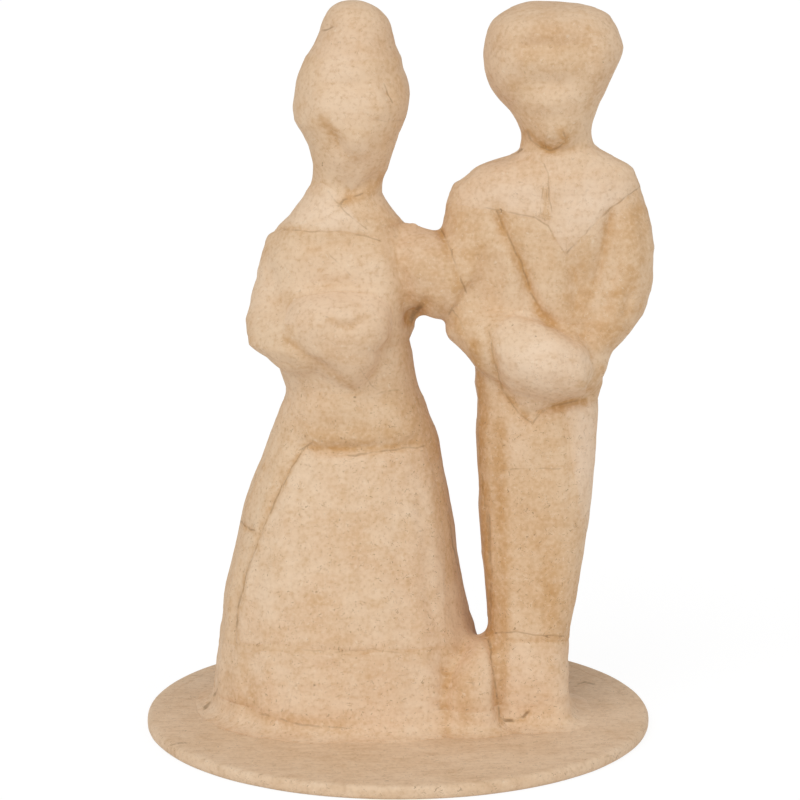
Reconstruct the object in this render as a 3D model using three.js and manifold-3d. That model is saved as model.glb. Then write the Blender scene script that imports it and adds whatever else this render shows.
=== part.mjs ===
// A papier-mache wedding couple, arm in arm, pasted upright on a round board.
// Millimetres, +Z up. The origin is the middle of the board's underside and the couple faces -Y.
import * as THREE from "three";
import { mergeVertices } from "three/addons/utils/BufferGeometryUtils.js";
import Module from "manifold-3d";

const wasm = await Module();
wasm.setup();

// Paper and paste
const PAPER = 0.4;
const GLUE_GAP = 0.3;
const SHELL_WALL = 2.2;
const OVERRUN = 60;

// Board
const BASE_DIAMETER = 125;
const BOARD_THICKNESS = 2;
const RIM_WIDTH = 1.2;

// Bride
const SKIRT_WIDTH = 69.4;
const SKIRT_DEPTH = 57.4;
const SKIRT_HEIGHT = 81.6;
const BODICE_WIDTH = 37;
const BODICE_DEPTH = 25;
const BODICE_HEIGHT = 48;
const BODICE_FORWARD = 5.5;
const BRIDE_HEAD_WIDTH = 27.6;
const BRIDE_HEAD_DEPTH = 26;
const BRIDE_HEAD_HEIGHT = 37.2;
const BRIDE_ARM_WIDTH = 14;
const BUN_WIDTH = 19.6;
const BUN_DEPTH = 20;
const BUN_HEIGHT = 16.5;
const BUN_RISE = 9.5;
const BOUQUET_WIDTH = 24;
const BOUQUET_DEPTH = 13.6;
const BOUQUET_HEIGHT = 22.9;
const BOUQUET_RISE = 4.2;

// Groom
const FOOT_WIDTH = 18.4;
const FOOT_DEPTH = 23.6;
const FOOT_HEIGHT = 14;
const TROUSER_WIDTH = 28.6;
const TROUSER_DEPTH = 24.4;
const TROUSER_HEIGHT = 64.8;
const CHEST_SHARE = 0.634;
const CHEST_DEPTH = 23;
const COAT_HEIGHT = 62;
const GROOM_LEAN = 3;
const GROOM_ARM_WIDTH = 16;
const GROOM_HEAD_WIDTH = 24.8;
const GROOM_HEAD_DEPTH = 24;
const GROOM_HEAD_HEIGHT = 33;
const GROOM_HEAD_SHIFT = 3.4;
const HAIR_WIDTH = 32.8;
const HAIR_DEPTH = 30;
const HAIR_HEIGHT = 24.5;
const HAIR_RISE = 2.5;
const FACE_OPENING_WIDTH = 17.8;
const FACE_OPENING_HEIGHT = 29;

// What joins the two figures to each other and to the board
const FOOT_CLEARANCE = 0.6;
const PAIR_SHIFT = -1;
const BRIDE_BACK = 4.75;
const GROOM_FORWARD = 3;
const LINK_ARM_WIDTH = 16;
const BRIDGE_WIDTH = 17.4;
const BRIDGE_DEPTH = 23;
const BRIDGE_HEIGHT = 20.3;
const BRIDGE_INSET = 7;
const BRIDGE_FORWARD = 5;
const COLLAR_REACH = 5;
const COLLAR_HEIGHT = 4;
const SEAM_STRIP_WIDTH = 10;
const LEG_STRIP_WIDTH = 14;

// Fineness of the faceted forms
const BODY_SIDES = 20;
const BODY_RINGS = 26;
const HOLLOW_SIDES = 12;
const HOLLOW_RINGS = 10;
const LIMB_SIDES = 12;
const LIMB_RINGS = 10;
const LUMP_SIDES = 16;
const LUMP_RINGS = 8;
const COLLAR_SIDES = 32;
const BOARD_SIDES = 56;
const RIM_STEPS = 4;

// Levels and places that follow from the sizes above
const BOARD_BOTTOM = PAPER + GLUE_GAP;
const TOP_PAPER_BOTTOM = BOARD_BOTTOM + BOARD_THICKNESS + GLUE_GAP;
const BASE_TOP = TOP_PAPER_BOTTOM + PAPER;
const FOOT_LEVEL = BASE_TOP + GLUE_GAP;
const WAIST_LEVEL = FOOT_LEVEL + SKIRT_HEIGHT;
const BRIDE_NECK_LEVEL = WAIST_LEVEL + BODICE_HEIGHT;
const BRIDE_CROWN_LEVEL = BRIDE_NECK_LEVEL + BRIDE_HEAD_HEIGHT;
const ANKLE_LEVEL = FOOT_LEVEL + FOOT_HEIGHT;
const HIP_LEVEL = ANKLE_LEVEL + TROUSER_HEIGHT;
const GROOM_NECK_LEVEL = HIP_LEVEL + COAT_HEIGHT;
const CHEST_WIDTH = CHEST_SHARE * SKIRT_WIDTH;
const PAIR_WIDTH = SKIRT_WIDTH + FOOT_CLEARANCE + FOOT_WIDTH;
const BRIDE_X = PAIR_SHIFT + (SKIRT_WIDTH - PAIR_WIDTH) / 2;
const BRIDE_Y = BRIDE_BACK;
const BODICE_Y = BRIDE_Y - BODICE_FORWARD;
const GROOM_X = BRIDE_X + (SKIRT_WIDTH + FOOT_WIDTH) / 2 + FOOT_CLEARANCE;
const GROOM_Y = -GROOM_FORWARD;
const COAT_Y = GROOM_Y + GROOM_LEAN;
const GROOM_HEAD_X = GROOM_X + GROOM_HEAD_SHIFT;

const SIDE = new THREE.Vector3(1, 0, 0);
const DEPTH = new THREE.Vector3(0, 1, 0);
const UP = new THREE.Vector3(0, 0, 1);

// A closed geometry as a solid that can be joined and cut.
function solidOf(geometry) {
  const bare = new THREE.BufferGeometry();
  bare.setAttribute("position", geometry.getAttribute("position"));
  bare.setIndex(geometry.getIndex());
  const merged = mergeVertices(bare);
  const vertProperties = new Float32Array(merged.getAttribute("position").array);
  const triVerts = new Uint32Array(merged.getIndex().array);
  return new wasm.Manifold(new wasm.Mesh({ numProp: 3, vertProperties, triVerts }));
}

// Zones and limbs

// A place in a zone, from its sideways, backward and height shares.
function placeIn({ x, y, foot, width, depth, height }, shift, back, rise) {
  return new THREE.Vector3(x + (shift * width) / 2, y + (back * depth) / 2, foot + rise * height);
}

// A zone is a stretch of a figure. Each row of its shares is height, sideways and backward shift, half width
// and half depth, as shares of the zone's sizes, then the squareness of the section, where 2 is an ellipse.
function zoneRows(zone) {
  return zone.shares.map(([rise, shift, back, wide, deep, squareness]) => ({
    centre: placeIn(zone, shift, back, rise),
    size: new THREE.Vector3((wide * zone.width) / 2, (deep * zone.depth) / 2, squareness),
  }));
}

// A limb's rows are sideways, backward and height shares of the zone that it hangs on, then a girth share.
function limbRows(zone, girth, shares) {
  return shares.map(([shift, back, rise, thick]) => ({
    centre: placeIn(zone, shift, back, rise),
    size: new THREE.Vector3((thick * girth) / 2, (thick * girth) / 2, 2),
  }));
}

function sectionPoint(size, angle) {
  const power = 2 / size.z;
  const across = Math.cos(angle);
  const along = Math.sin(angle);
  const a = size.x * Math.sign(across) * Math.abs(across) ** power;
  const b = size.y * Math.sign(along) * Math.abs(along) ** power;
  return [a, b];
}

// A smooth closed form through rows, grown outwards by a clearance or a sheet's thickness.
function loft({ rows, level, sides, rings }, grow) {
  const path = new THREE.CatmullRomCurve3(rows.map((row) => row.centre), false, "catmullrom");
  const sizes = new THREE.CatmullRomCurve3(rows.map((row) => row.size), false, "catmullrom");
  const points = [];
  const ends = [];
  for (let ring = 0; ring < rings; ring += 1) {
    const t = ring / (rings - 1);
    const centre = path.getPoint(t);
    const size = sizes.getPoint(t);
    const along = level ? UP.clone() : path.getTangent(t);
    const side = level ? SIDE.clone() : new THREE.Vector3().crossVectors(DEPTH, along).normalize();
    const back = new THREE.Vector3().crossVectors(along, side);
    for (let step = 0; step < sides; step += 1) {
      const [a, b] = sectionPoint(size, (step / sides) * 2 * Math.PI);
      points.push(centre.clone().addScaledVector(side, a).addScaledVector(back, b));
    }
    ends.push({ centre, along });
  }
  const triangles = [];
  for (let ring = 0; ring < rings - 1; ring += 1) {
    for (let step = 0; step < sides; step += 1) {
      const next = (step + 1) % sides;
      const low = ring * sides;
      const high = low + sides;
      triangles.push(low + step, low + next, high + next);
      triangles.push(low + step, high + next, high + step);
    }
  }
  const skin = new THREE.BufferGeometry().setFromPoints(points);
  skin.setIndex(triangles);
  skin.computeVertexNormals();
  const normals = skin.getAttribute("normal");
  const grown = points.map((point, i) => {
    const normal = new THREE.Vector3().fromBufferAttribute(normals, i);
    return point.clone().addScaledVector(normal, grow);
  });
  const first = ends[0];
  const last = ends[rings - 1];
  const lastRing = (rings - 1) * sides;
  for (let step = 0; step < sides; step += 1) {
    grown[step].addScaledVector(first.along, -Math.max(grow, 0));
    grown[lastRing + step].addScaledVector(last.along, Math.max(grow, 0));
    const next = (step + 1) % sides;
    triangles.push(points.length, next, step);
    triangles.push(points.length + 1, lastRing + step, lastRing + next);
  }
  grown.push(middle(grown.slice(0, sides)));
  grown.push(middle(grown.slice(lastRing, lastRing + sides)));
  const closed = new THREE.BufferGeometry().setFromPoints(grown);
  closed.setIndex(triangles);
  return solidOf(closed);
}

function middle(points) {
  const sum = new THREE.Vector3();
  points.forEach((point) => sum.add(point));
  return sum.divideScalar(points.length);
}

// The joined forms of a figure, grown by any amount. Each amount is made once.
function formOf(lofts) {
  const made = new Map();
  return (grow) => {
    if (!made.has(grow)) {
      made.set(grow, lofts.map((one) => loft(one, grow)).reduce((sum, one) => sum.add(one)));
    }
    return made.get(grow);
  };
}

function block(from, to) {
  const size = new THREE.Vector3().subVectors(to, from);
  const box = new THREE.BoxGeometry(size.x, size.y, size.z);
  box.translate((from.x + to.x) / 2, (from.y + to.y) / 2, (from.z + to.z) / 2);
  return solidOf(box);
}

// An upright outline of [x, z] points, pushed through from one depth to another.
function prism(outline, from, to) {
  const shape = new THREE.Shape(outline.map(([x, z]) => new THREE.Vector2(x, z)));
  const geometry = new THREE.ExtrudeGeometry(shape, { depth: to - from, bevelEnabled: false });
  geometry.rotateX(Math.PI / 2);
  geometry.translate(0, to, 0);
  return solidOf(geometry);
}

// An outline of [sideways, height] shares of a zone.
function outlineOn({ x, foot, width, height }, shares) {
  return shares.map(([shift, rise]) => [x + (shift * width) / 2, foot + rise * height]);
}

// Tables of the figures' forms

const SKIRT = {
  x: BRIDE_X,
  y: BRIDE_Y,
  foot: FOOT_LEVEL,
  width: SKIRT_WIDTH,
  depth: SKIRT_DEPTH,
  height: SKIRT_HEIGHT,
  shares: [
    [0, 0, 0, 1, 1, 2.2],
    [0.1, -0.023, 0, 0.957, 0.951, 2.2],
    [0.252, -0.056, -0.017, 0.899, 0.878, 2.2],
    [0.404, -0.069, -0.033, 0.827, 0.808, 2.2],
    [0.555, -0.065, -0.054, 0.761, 0.725, 2.2],
    [0.705, -0.042, -0.071, 0.689, 0.638, 2.2],
    [0.854, -0.009, -0.098, 0.582, 0.54, 2.1],
    [0.985, -0.019, -0.131, 0.468, 0.455, 2.1],
  ],
};
const BODICE = {
  x: BRIDE_X,
  y: BODICE_Y,
  foot: WAIST_LEVEL,
  width: BODICE_WIDTH,
  depth: BODICE_DEPTH,
  height: BODICE_HEIGHT,
  shares: [
    [0.09, -0.07, 0.04, 0.87, 1, 2.1],
    [0.2, -0.114, 0.02, 0.886, 0.99, 2.2],
    [0.369, -0.157, -0.02, 0.94, 0.99, 2.2],
    [0.556, -0.2, -0.036, 0.99, 0.984, 2.2],
    [0.702, -0.211, -0.02, 0.968, 0.896, 2.2],
    [0.817, -0.178, 0, 0.832, 0.8, 2.1],
    [0.9, -0.151, 0.02, 0.66, 0.728, 2],
    [0.99, -0.13, 0.04, 0.508, 0.672, 2],
  ],
};
const BRIDE_HEAD = {
  x: BRIDE_X,
  y: BODICE_Y,
  foot: BRIDE_NECK_LEVEL,
  width: BRIDE_HEAD_WIDTH,
  depth: BRIDE_HEAD_DEPTH,
  height: BRIDE_HEAD_HEIGHT,
  shares: [
    [0.1, -0.123, 0.046, 0.594, 0.623, 2],
    [0.207, -0.072, 0, 0.638, 0.708, 2],
    [0.328, -0.065, -0.02, 0.746, 0.846, 2],
    [0.449, -0.072, 0.01, 0.891, 0.954, 2],
    [0.57, -0.058, 0.04, 0.986, 1, 2],
    [0.704, -0.043, 0.065, 0.964, 0.992, 2],
    [0.825, -0.036, 0.08, 0.862, 0.915, 2],
    [0.933, -0.007, 0.1, 0.667, 0.738, 2],
    [0.987, 0.007, 0.1, 0.391, 0.446, 2],
    [1, 0.007, 0.1, 0.2, 0.23, 2],
  ],
};
const BUN = {
  x: BRIDE_X,
  y: BODICE_Y,
  foot: BRIDE_CROWN_LEVEL + BUN_RISE - BUN_HEIGHT,
  width: BUN_WIDTH,
  depth: BUN_DEPTH,
  height: BUN_HEIGHT,
  shares: [
    [0, 0.02, 0.12, 0.72, 0.72, 2],
    [0.15, 0, 0.12, 0.92, 0.92, 2],
    [0.3, 0, 0.12, 1, 1, 2],
    [0.485, 0.03, 0.12, 0.93, 0.95, 2],
    [0.667, 0.05, 0.12, 0.857, 0.88, 2],
    [0.818, 0.01, 0.11, 0.724, 0.75, 2],
    [0.95, -0.05, 0.1, 0.49, 0.5, 2],
    [1, -0.08, 0.1, 0.3, 0.3, 2],
  ],
};
const BRIDE_ARM_SHARES = [
  [-0.784, 0.14, 0.754, 0.9],
  [-0.957, 0.06, 0.588, 0.98],
  [-1.054, -0.14, 0.41, 1],
  [-0.946, -0.5, 0.302, 1.02],
  [-0.595, -0.83, 0.296, 1],
  [-0.32, -0.92, 0.33, 0.6],
];
const BOUQUET = {
  x: BRIDE_X,
  y: BODICE_Y - BODICE_DEPTH / 2,
  foot: WAIST_LEVEL + BOUQUET_RISE,
  width: BOUQUET_WIDTH,
  depth: BOUQUET_DEPTH,
  height: BOUQUET_HEIGHT,
  shares: [
    [0, -0.09, 0, 0.18, 0.3, 2],
    [0.15, -0.16, 0, 0.5, 0.66, 2],
    [0.37, -0.26, 0, 0.83, 0.9, 2],
    [0.59, -0.33, 0.05, 1, 1, 2.2],
    [0.79, -0.3, 0.12, 0.95, 0.88, 2.2],
    [0.93, -0.28, 0.25, 0.66, 0.62, 2],
    [1, -0.28, 0.35, 0.3, 0.3, 2],
  ],
};
const FOOT = {
  x: GROOM_X,
  y: GROOM_Y,
  foot: FOOT_LEVEL,
  width: FOOT_WIDTH,
  depth: FOOT_DEPTH,
  height: FOOT_HEIGHT,
  shares: [
    [0, 0, 0, 1, 1, 4.5],
    [0.45, -0.03, 0.01, 1.03, 0.99, 4.2],
  ],
};
const TROUSERS = {
  x: GROOM_X,
  y: GROOM_Y,
  foot: ANKLE_LEVEL,
  width: TROUSER_WIDTH,
  depth: TROUSER_DEPTH,
  height: TROUSER_HEIGHT,
  shares: [
    [0, -0.077, 0.05, 0.713, 0.934, 3.4],
    [0.102, -0.091, 0.09, 0.727, 0.926, 3],
    [0.293, -0.045, 0.156, 0.79, 0.943, 2.8],
    [0.483, -0.021, 0.213, 0.888, 0.967, 2.6],
    [0.668, -0.01, 0.246, 0.958, 0.992, 2.5],
    [0.853, 0, 0.246, 1, 1, 2.4],
    [1, 0.021, 0.238, 1.007, 0.992, 2.4],
  ],
};
const COAT = {
  x: GROOM_X,
  y: COAT_Y,
  foot: HIP_LEVEL,
  width: CHEST_WIDTH,
  depth: CHEST_DEPTH,
  height: COAT_HEIGHT,
  shares: [
    [0.121, 0.027, -0.017, 0.69, 1.026, 2.3],
    [0.25, 0.045, -0.035, 0.755, 1.017, 2.3],
    [0.395, 0.064, -0.043, 0.845, 1.009, 2.3],
    [0.54, 0.082, -0.043, 0.936, 0.99, 2.3],
    [0.669, 0.09, -0.035, 0.99, 0.965, 2.3],
    [0.782, 0.09, -0.02, 0.99, 0.913, 2.3],
    [0.871, 0.1, 0, 0.95, 0.852, 2.2],
    [0.924, 0.13, 0, 0.85, 0.809, 2.1],
    [0.965, 0.2, 0, 0.62, 0.774, 2],
    [1, 0.227, 0, 0.418, 0.748, 2],
  ],
};
const INNER_ARM_SHARES = [
  [-0.6, 0.087, 0.85, 0.85],
  [-0.7, 0, 0.67, 1.03],
  [-0.75, -0.174, 0.484, 1],
  [-0.7, -0.478, 0.347, 0.92],
  [-0.42, -0.896, 0.258, 1],
  [-0.045, -1, 0.215, 1.13],
  [0.273, -0.957, 0.192, 1.15],
  [0.477, -0.826, 0.185, 0.75],
];
const OUTER_ARM_SHARES = [
  [0.74, 0.087, 0.86, 0.9],
  [0.86, 0.043, 0.67, 1.05],
  [0.88, -0.087, 0.5, 1.03],
  [0.76, -0.26, 0.36, 0.96],
  [0.55, -0.478, 0.24, 0.82],
  [0.44, -0.652, 0.14, 0.7],
  [0.4, -0.739, 0.08, 0.45],
];
const GROOM_HEAD = {
  x: GROOM_HEAD_X,
  y: COAT_Y,
  foot: GROOM_NECK_LEVEL,
  width: GROOM_HEAD_WIDTH,
  depth: GROOM_HEAD_DEPTH,
  height: GROOM_HEAD_HEIGHT,
  shares: [
    [0.091, 0.073, -0.033, 0.653, 0.7, 2],
    [0.197, 0.048, -0.075, 0.694, 0.79, 2],
    [0.318, 0.008, -0.09, 0.806, 0.89, 2],
    [0.47, -0.016, -0.083, 0.944, 0.967, 2.1],
    [0.652, -0.016, -0.075, 1, 1, 2.1],
    [0.803, -0.016, -0.06, 0.944, 0.942, 2.1],
    [0.924, -0.016, -0.04, 0.726, 0.733, 2],
    [0.985, -0.016, -0.04, 0.403, 0.417, 2],
    [1, -0.016, -0.04, 0.2, 0.2, 2],
  ],
};
const HAIR = {
  x: GROOM_HEAD_X,
  y: COAT_Y,
  foot: GROOM_NECK_LEVEL + GROOM_HEAD_HEIGHT + HAIR_RISE - HAIR_HEIGHT,
  width: HAIR_WIDTH,
  depth: HAIR_DEPTH,
  height: HAIR_HEIGHT,
  shares: [
    [0, -0.02, 0.07, 0.646, 0.7, 2],
    [0.122, -0.05, 0.05, 0.79, 0.867, 2],
    [0.265, -0.055, 0.04, 0.884, 0.947, 2.1],
    [0.429, -0.03, 0.03, 0.963, 0.987, 2.1],
    [0.592, 0, 0.03, 1, 1, 2.1],
    [0.755, -0.02, 0.03, 0.933, 0.933, 2.1],
    [0.898, -0.037, 0.04, 0.744, 0.753, 2],
    [0.976, -0.085, 0.04, 0.427, 0.433, 2],
    [1, -0.116, 0.04, 0.195, 0.2, 2],
  ],
};
const BRIDGE = {
  x: BRIDE_X + SKIRT_WIDTH / 2 - BRIDGE_INSET,
  y: GROOM_Y - BRIDGE_FORWARD,
  foot: FOOT_LEVEL,
  width: BRIDGE_WIDTH,
  depth: BRIDGE_DEPTH,
  height: BRIDGE_HEIGHT,
  shares: [
    [0, 0, 0, 1, 1, 2.8],
    [0.31, 0.09, -0.02, 0.94, 0.96, 2.6],
    [0.65, 0.32, 0, 0.75, 0.82, 2.3],
    [0.9, 0.49, 0.08, 0.48, 0.6, 2],
    [1, 0.51, 0.13, 0.25, 0.38, 2],
  ],
};

const bodyLoft = (zones) => ({
  rows: zones.flatMap(zoneRows),
  level: true,
  sides: BODY_SIDES,
  rings: BODY_RINGS,
});
const limbLoft = (rows) => ({ rows, level: false, sides: LIMB_SIDES, rings: LIMB_RINGS });
const lumpLoft = (zone) => ({ rows: zoneRows(zone), level: true, sides: LUMP_SIDES, rings: LUMP_RINGS });

const BRIDE_ZONES = [SKIRT, BODICE, BRIDE_HEAD];
const GROOM_ZONES = [FOOT, TROUSERS, COAT, GROOM_HEAD];
const brideForm = formOf([
  bodyLoft(BRIDE_ZONES),
  limbLoft(limbRows(BODICE, BRIDE_ARM_WIDTH, BRIDE_ARM_SHARES)),
]);
const groomForm = formOf([
  bodyLoft(GROOM_ZONES),
  limbLoft(limbRows(COAT, GROOM_ARM_WIDTH, INNER_ARM_SHARES)),
  limbLoft(limbRows(COAT, GROOM_ARM_WIDTH, OUTER_ARM_SHARES)),
]);

// Shells

// The hollow of a figure: its body drawn in by the wall, open through the foot and closed in the head.
function hollowOf(zones) {
  const rows = zones.flatMap(zoneRows);
  const crown = rows[rows.length - 1].centre.z - SHELL_WALL;
  const roomy = ({ centre, size }) => centre.z < crown && Math.min(size.x, size.y) > 2 * SHELL_WALL;
  const kept = rows.filter(roomy);
  const hollow = loft({ rows: kept, level: true, sides: HOLLOW_SIDES, rings: HOLLOW_RINGS }, -SHELL_WALL);
  const foot = rows[0];
  const mouth = [foot, foot].map(({ centre, size }, i) => ({
    centre: centre.clone().setZ(centre.z + (i === 0 ? -GLUE_GAP : GLUE_GAP)),
    size: size.clone(),
  }));
  return hollow.add(loft({ rows: mouth, level: true, sides: HOLLOW_SIDES, rings: 2 }, -SHELL_WALL));
}

const UNDER_ALL = -OVERRUN;
const OVER_ALL = BRIDE_CROWN_LEVEL + BUN_RISE + OVERRUN;
const REACH = BASE_DIAMETER + OVERRUN;

function slab(from, to) {
  return block(new THREE.Vector3(-REACH, from, UNDER_ALL), new THREE.Vector3(REACH, to, OVER_ALL));
}

function shellsOf(form, zones, parting) {
  const shell = form(0).subtract(hollowOf(zones));
  return {
    front: shell.intersect(slab(-REACH, parting - GLUE_GAP / 2)),
    back: shell.intersect(slab(parting + GLUE_GAP / 2, REACH)),
  };
}

const BRIDE_PARTING = (BRIDE_Y + BODICE_Y) / 2;
const GROOM_PARTING = (GROOM_Y + COAT_Y) / 2;
const brideShells = shellsOf(brideForm, BRIDE_ZONES, BRIDE_PARTING);
const groomShells = shellsOf(groomForm, GROOM_ZONES, GROOM_PARTING);

const LAYER = PAPER + GLUE_GAP;
const brideGuard = brideForm(LAYER + GLUE_GAP);
const clearOfBride = (solid) => solid.subtract(brideGuard);

// Pulp pieces that are pressed on to the shells

const bunLoft = lumpLoft(BUN);
const bouquetForm = formOf([lumpLoft(BOUQUET)]);
const bridgeForm = formOf([lumpLoft(BRIDGE)]);

// The linking arm runs from the bride's shoulder to the crook of the inner arm. Its rows are shares of
// the way along, then forward and down shares of its girth, then its half height and half depth.
const LINK_START_SHARES = [0.4, 0.06, 0.69];
const LINK_END_SHARES = INNER_ARM_SHARES[2];
const LINK_SHARES = [
  [0, 0, 0, 0.95, 0.9],
  [0.35, 0.12, 0, 1.2, 1.05],
  [0.7, 0.32, 0.03, 1.22, 1.05],
  [0.95, 0.42, 0.18, 1, 0.95],
];

function linkRows() {
  const [start] = limbRows(BODICE, LINK_ARM_WIDTH, [LINK_START_SHARES]);
  const [end] = limbRows(COAT, LINK_ARM_WIDTH, [LINK_END_SHARES]);
  return LINK_SHARES.map(([way, forward, down, tall, deep]) => {
    const centre = new THREE.Vector3().lerpVectors(start.centre, end.centre, way);
    centre.addScaledVector(DEPTH, (-forward * LINK_ARM_WIDTH) / 2);
    centre.addScaledVector(UP, (-down * LINK_ARM_WIDTH) / 2);
    const size = new THREE.Vector3((tall * LINK_ARM_WIDTH) / 2, (deep * LINK_ARM_WIDTH) / 2, 2);
    return { centre, size };
  });
}

const linkForm = formOf([limbLoft(linkRows())]);

function hairCap() {
  const left = GROOM_HEAD_X - FACE_OPENING_WIDTH / 2;
  const right = GROOM_HEAD_X + FACE_OPENING_WIDTH / 2;
  const from = new THREE.Vector3(left, -REACH, GROOM_NECK_LEVEL);
  const to = new THREE.Vector3(right, COAT_Y - GROOM_HEAD_DEPTH / 6, GROOM_NECK_LEVEL + FACE_OPENING_HEIGHT);
  return loft(lumpLoft(HAIR), 0).subtract(groomForm(GLUE_GAP)).subtract(block(from, to));
}

// Pasted papers

// A sheet over a figure inside an outline, between two depths. The second layer lies over a first sheet.
function sheetOn(form, outline, from, to, layer = 0) {
  const under = GLUE_GAP + layer * LAYER;
  const skin = form(under + PAPER).subtract(form(under));
  return skin.intersect(prism(outline, from, to));
}

const brideFront = (outline) => sheetOn(brideForm, outline, -REACH, BRIDE_PARTING);
const brideRear = (outline) => sheetOn(brideForm, outline, BRIDE_PARTING, REACH);
const groomFront = (outline, layer) => sheetOn(groomForm, outline, -REACH, GROOM_PARTING, layer);
const groomRear = (outline) => sheetOn(groomForm, outline, GROOM_PARTING, REACH);

const SKIRT_PANEL_SHARES = [
  [-0.35, 0.842],
  [-0.1, 0.828],
  [0.12, 0.832],
  [0.5, 0.85],
  [0.575, 0.7],
  [0.608, 0.512],
  [0.64, 0.284],
  [-0.2, 0.288],
  [-0.806, 0.284],
  [-0.737, 0.396],
  [-0.65, 0.575],
  [-0.455, 0.754],
];
const HEM_STRIP_SHARES = [
  [-0.88, 0.272],
  [-0.2, 0.28],
  [0.64, 0.276],
  [0.6, 0.062],
  [-0.88, 0.062],
];
const SKIRT_BACK_SHARES = [
  [-0.4, 0.8],
  [0.36, 0.82],
  [0.6, 0.34],
  [0.5, 0.13],
  [-0.62, 0.12],
  [-0.66, 0.4],
];
const WAIST_PAPER_SHARES = [
  [-0.46, 0.879],
  [-0.03, 0.868],
  [0.458, 0.88],
  [0.366, 0.985],
  [0.33, 1.07],
  [0.16, 1.02],
  [-0.04, 1.005],
  [-0.25, 1.04],
  [-0.44, 1.06],
];
const BODICE_PAPER_SHARES = [
  [-1.05, 0.845],
  [-0.44, 0.853],
  [0.23, 0.842],
  [0.53, 0.795],
  [0.62, 0.654],
  [0.66, 0.5],
  [0.4, 0.47],
  [-0.2, 0.575],
  [-0.7, 0.53],
  [-1.12, 0.51],
];
const SHOULDER_PAPER_SHARES = [
  [-0.31, 1.05],
  [0, 0.96],
  [0.22, 0.862],
  [-0.3, 0.866],
  [-0.96, 0.862],
  [-0.72, 0.96],
];
const SHIRT_PAPER_SHARES = [
  [-0.76, 0.775],
  [-0.43, 0.79],
  [0.09, 0.726],
  [0.3, 0.626],
  [0.55, 0.737],
  [0.79, 0.818],
  [1.05, 0.868],
  [1.02, 0.93],
  [0.6, 0.99],
  [0.3, 1.005],
  [-0.1, 0.998],
  [-0.62, 0.94],
  [-0.85, 0.88],
];
const TIE_SHARES = [
  [0.005, 0.9],
  [0.132, 0.9],
  [0.115, 0.78],
  [0.145, 0.748],
  [0.005, 0.748],
  [0.03, 0.782],
];
const COAT_FRONT_SHARES = [
  [-0.4, 0.765],
  [-0.2, 0.6],
  [-0.13, 0.5],
  [-0.02, 0.41],
  [0.11, 0.39],
  [0.45, 0.36],
  [0.56, 0.46],
  [0.6, 0.6],
  [0.7, 0.765],
  [0.56, 0.717],
  [0.3, 0.606],
  [0.08, 0.706],
];
const SLEEVE_PAPER_SHARES = [
  [-1.02, 0.84],
  [-0.78, 0.755],
  [-0.44, 0.765],
  [-0.25, 0.6],
  [-0.17, 0.49],
  [-0.1, 0.42],
  [-0.42, 0.37],
  [-0.82, 0.3],
  [-1.02, 0.42],
  [-1.15, 0.5],
  [-1.15, 0.6],
];
const OUTER_SLEEVE_SHARES = [
  [0.76, 0.79],
  [1.2, 0.85],
  [1.32, 0.6],
  [1.24, 0.34],
  [0.86, 0.16],
  [0.62, 0.24],
  [0.66, 0.5],
];
const HAND_PAPER_SHARES = [
  [-0.37, 0.335],
  [-0.1, 0.385],
  [0.11, 0.365],
  [0.33, 0.33],
  [0.5, 0.27],
  [0.48, 0.08],
  [0.23, 0.045],
  [-0.1, 0.02],
  [-0.3, 0.1],
  [-0.4, 0.22],
];
const TROUSER_PAPER_SHARES = [
  [-0.6, 0.93],
  [-0.28, 0.955],
  [0.2, 0.98],
  [0.45, 0.99],
  [0.72, 0.75],
  [0.86, 0.57],
  [0.66, 0.145],
  [0.05, 0.135],
  [-0.58, 0.145],
  [-0.6, 0.5],
];
const HIP_PAPER_SHARES = [
  [0.49, 1],
  [1.2, 1.02],
  [1.15, 0.53],
  [0.92, 0.56],
  [0.78, 0.75],
];
const ANKLE_PAPER_SHARES = [
  [-0.9, 1.48],
  [-0.1, 1.44],
  [1.3, 1.5],
  [1.3, 0.32],
  [-0.9, 0.32],
];
const COAT_BACK_SHARES = [
  [-0.5, 0.86],
  [0.1, 0.9],
  [0.7, 0.84],
  [0.66, 0.4],
  [0.5, 0.06],
  [-0.3, 0.03],
  [-0.5, 0.45],
];

const SKIRT_SEAM_SHARES = [0.3, 0.96];
const LEG_SEAM_SHARES = [0.15, 0.93];

// A strip over a side seam, from one height share of its zone to another.
function seamStrip(form, { x, foot, height }, side, rise, from, to) {
  const edge = x + side * REACH;
  const low = foot + rise[0] * height;
  const high = foot + rise[1] * height;
  const left = Math.min(x, edge);
  const right = Math.max(x, edge);
  return sheetOn(form, [[left, low], [right, low], [right, high], [left, high]], from, to);
}

// A collar's rows are height shares of its height, then reach shares of how far it spreads on the board.
const COLLAR_SHARES = [
  [0, 1],
  [0.12, 0.55],
  [0.45, 0.14],
  [1, 0],
];

// A flared collar of paper from a foot out on to the board.
function collarOn(form, zone) {
  const [foot, next] = zoneRows(zone);
  const rows = COLLAR_SHARES.map(([rise, reach]) => {
    const z = FOOT_LEVEL + rise * COLLAR_HEIGHT;
    const t = (z - foot.centre.z) / (next.centre.z - foot.centre.z);
    const grow = LAYER + reach * COLLAR_REACH;
    const size = new THREE.Vector3().lerpVectors(foot.size, next.size, t);
    const centre = new THREE.Vector3().lerpVectors(foot.centre, next.centre, t);
    return { centre, size: size.add(new THREE.Vector3(grow, grow, 0)) };
  });
  return loft({ rows, level: true, sides: COLLAR_SIDES, rings: rows.length }, 0).subtract(form(GLUE_GAP));
}

// Board

function disc(diameter, from, thickness) {
  const geometry = new THREE.CylinderGeometry(diameter / 2, diameter / 2, thickness, BOARD_SIDES);
  geometry.rotateX(Math.PI / 2);
  geometry.translate(0, 0, from + thickness / 2);
  return solidOf(geometry);
}

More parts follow.
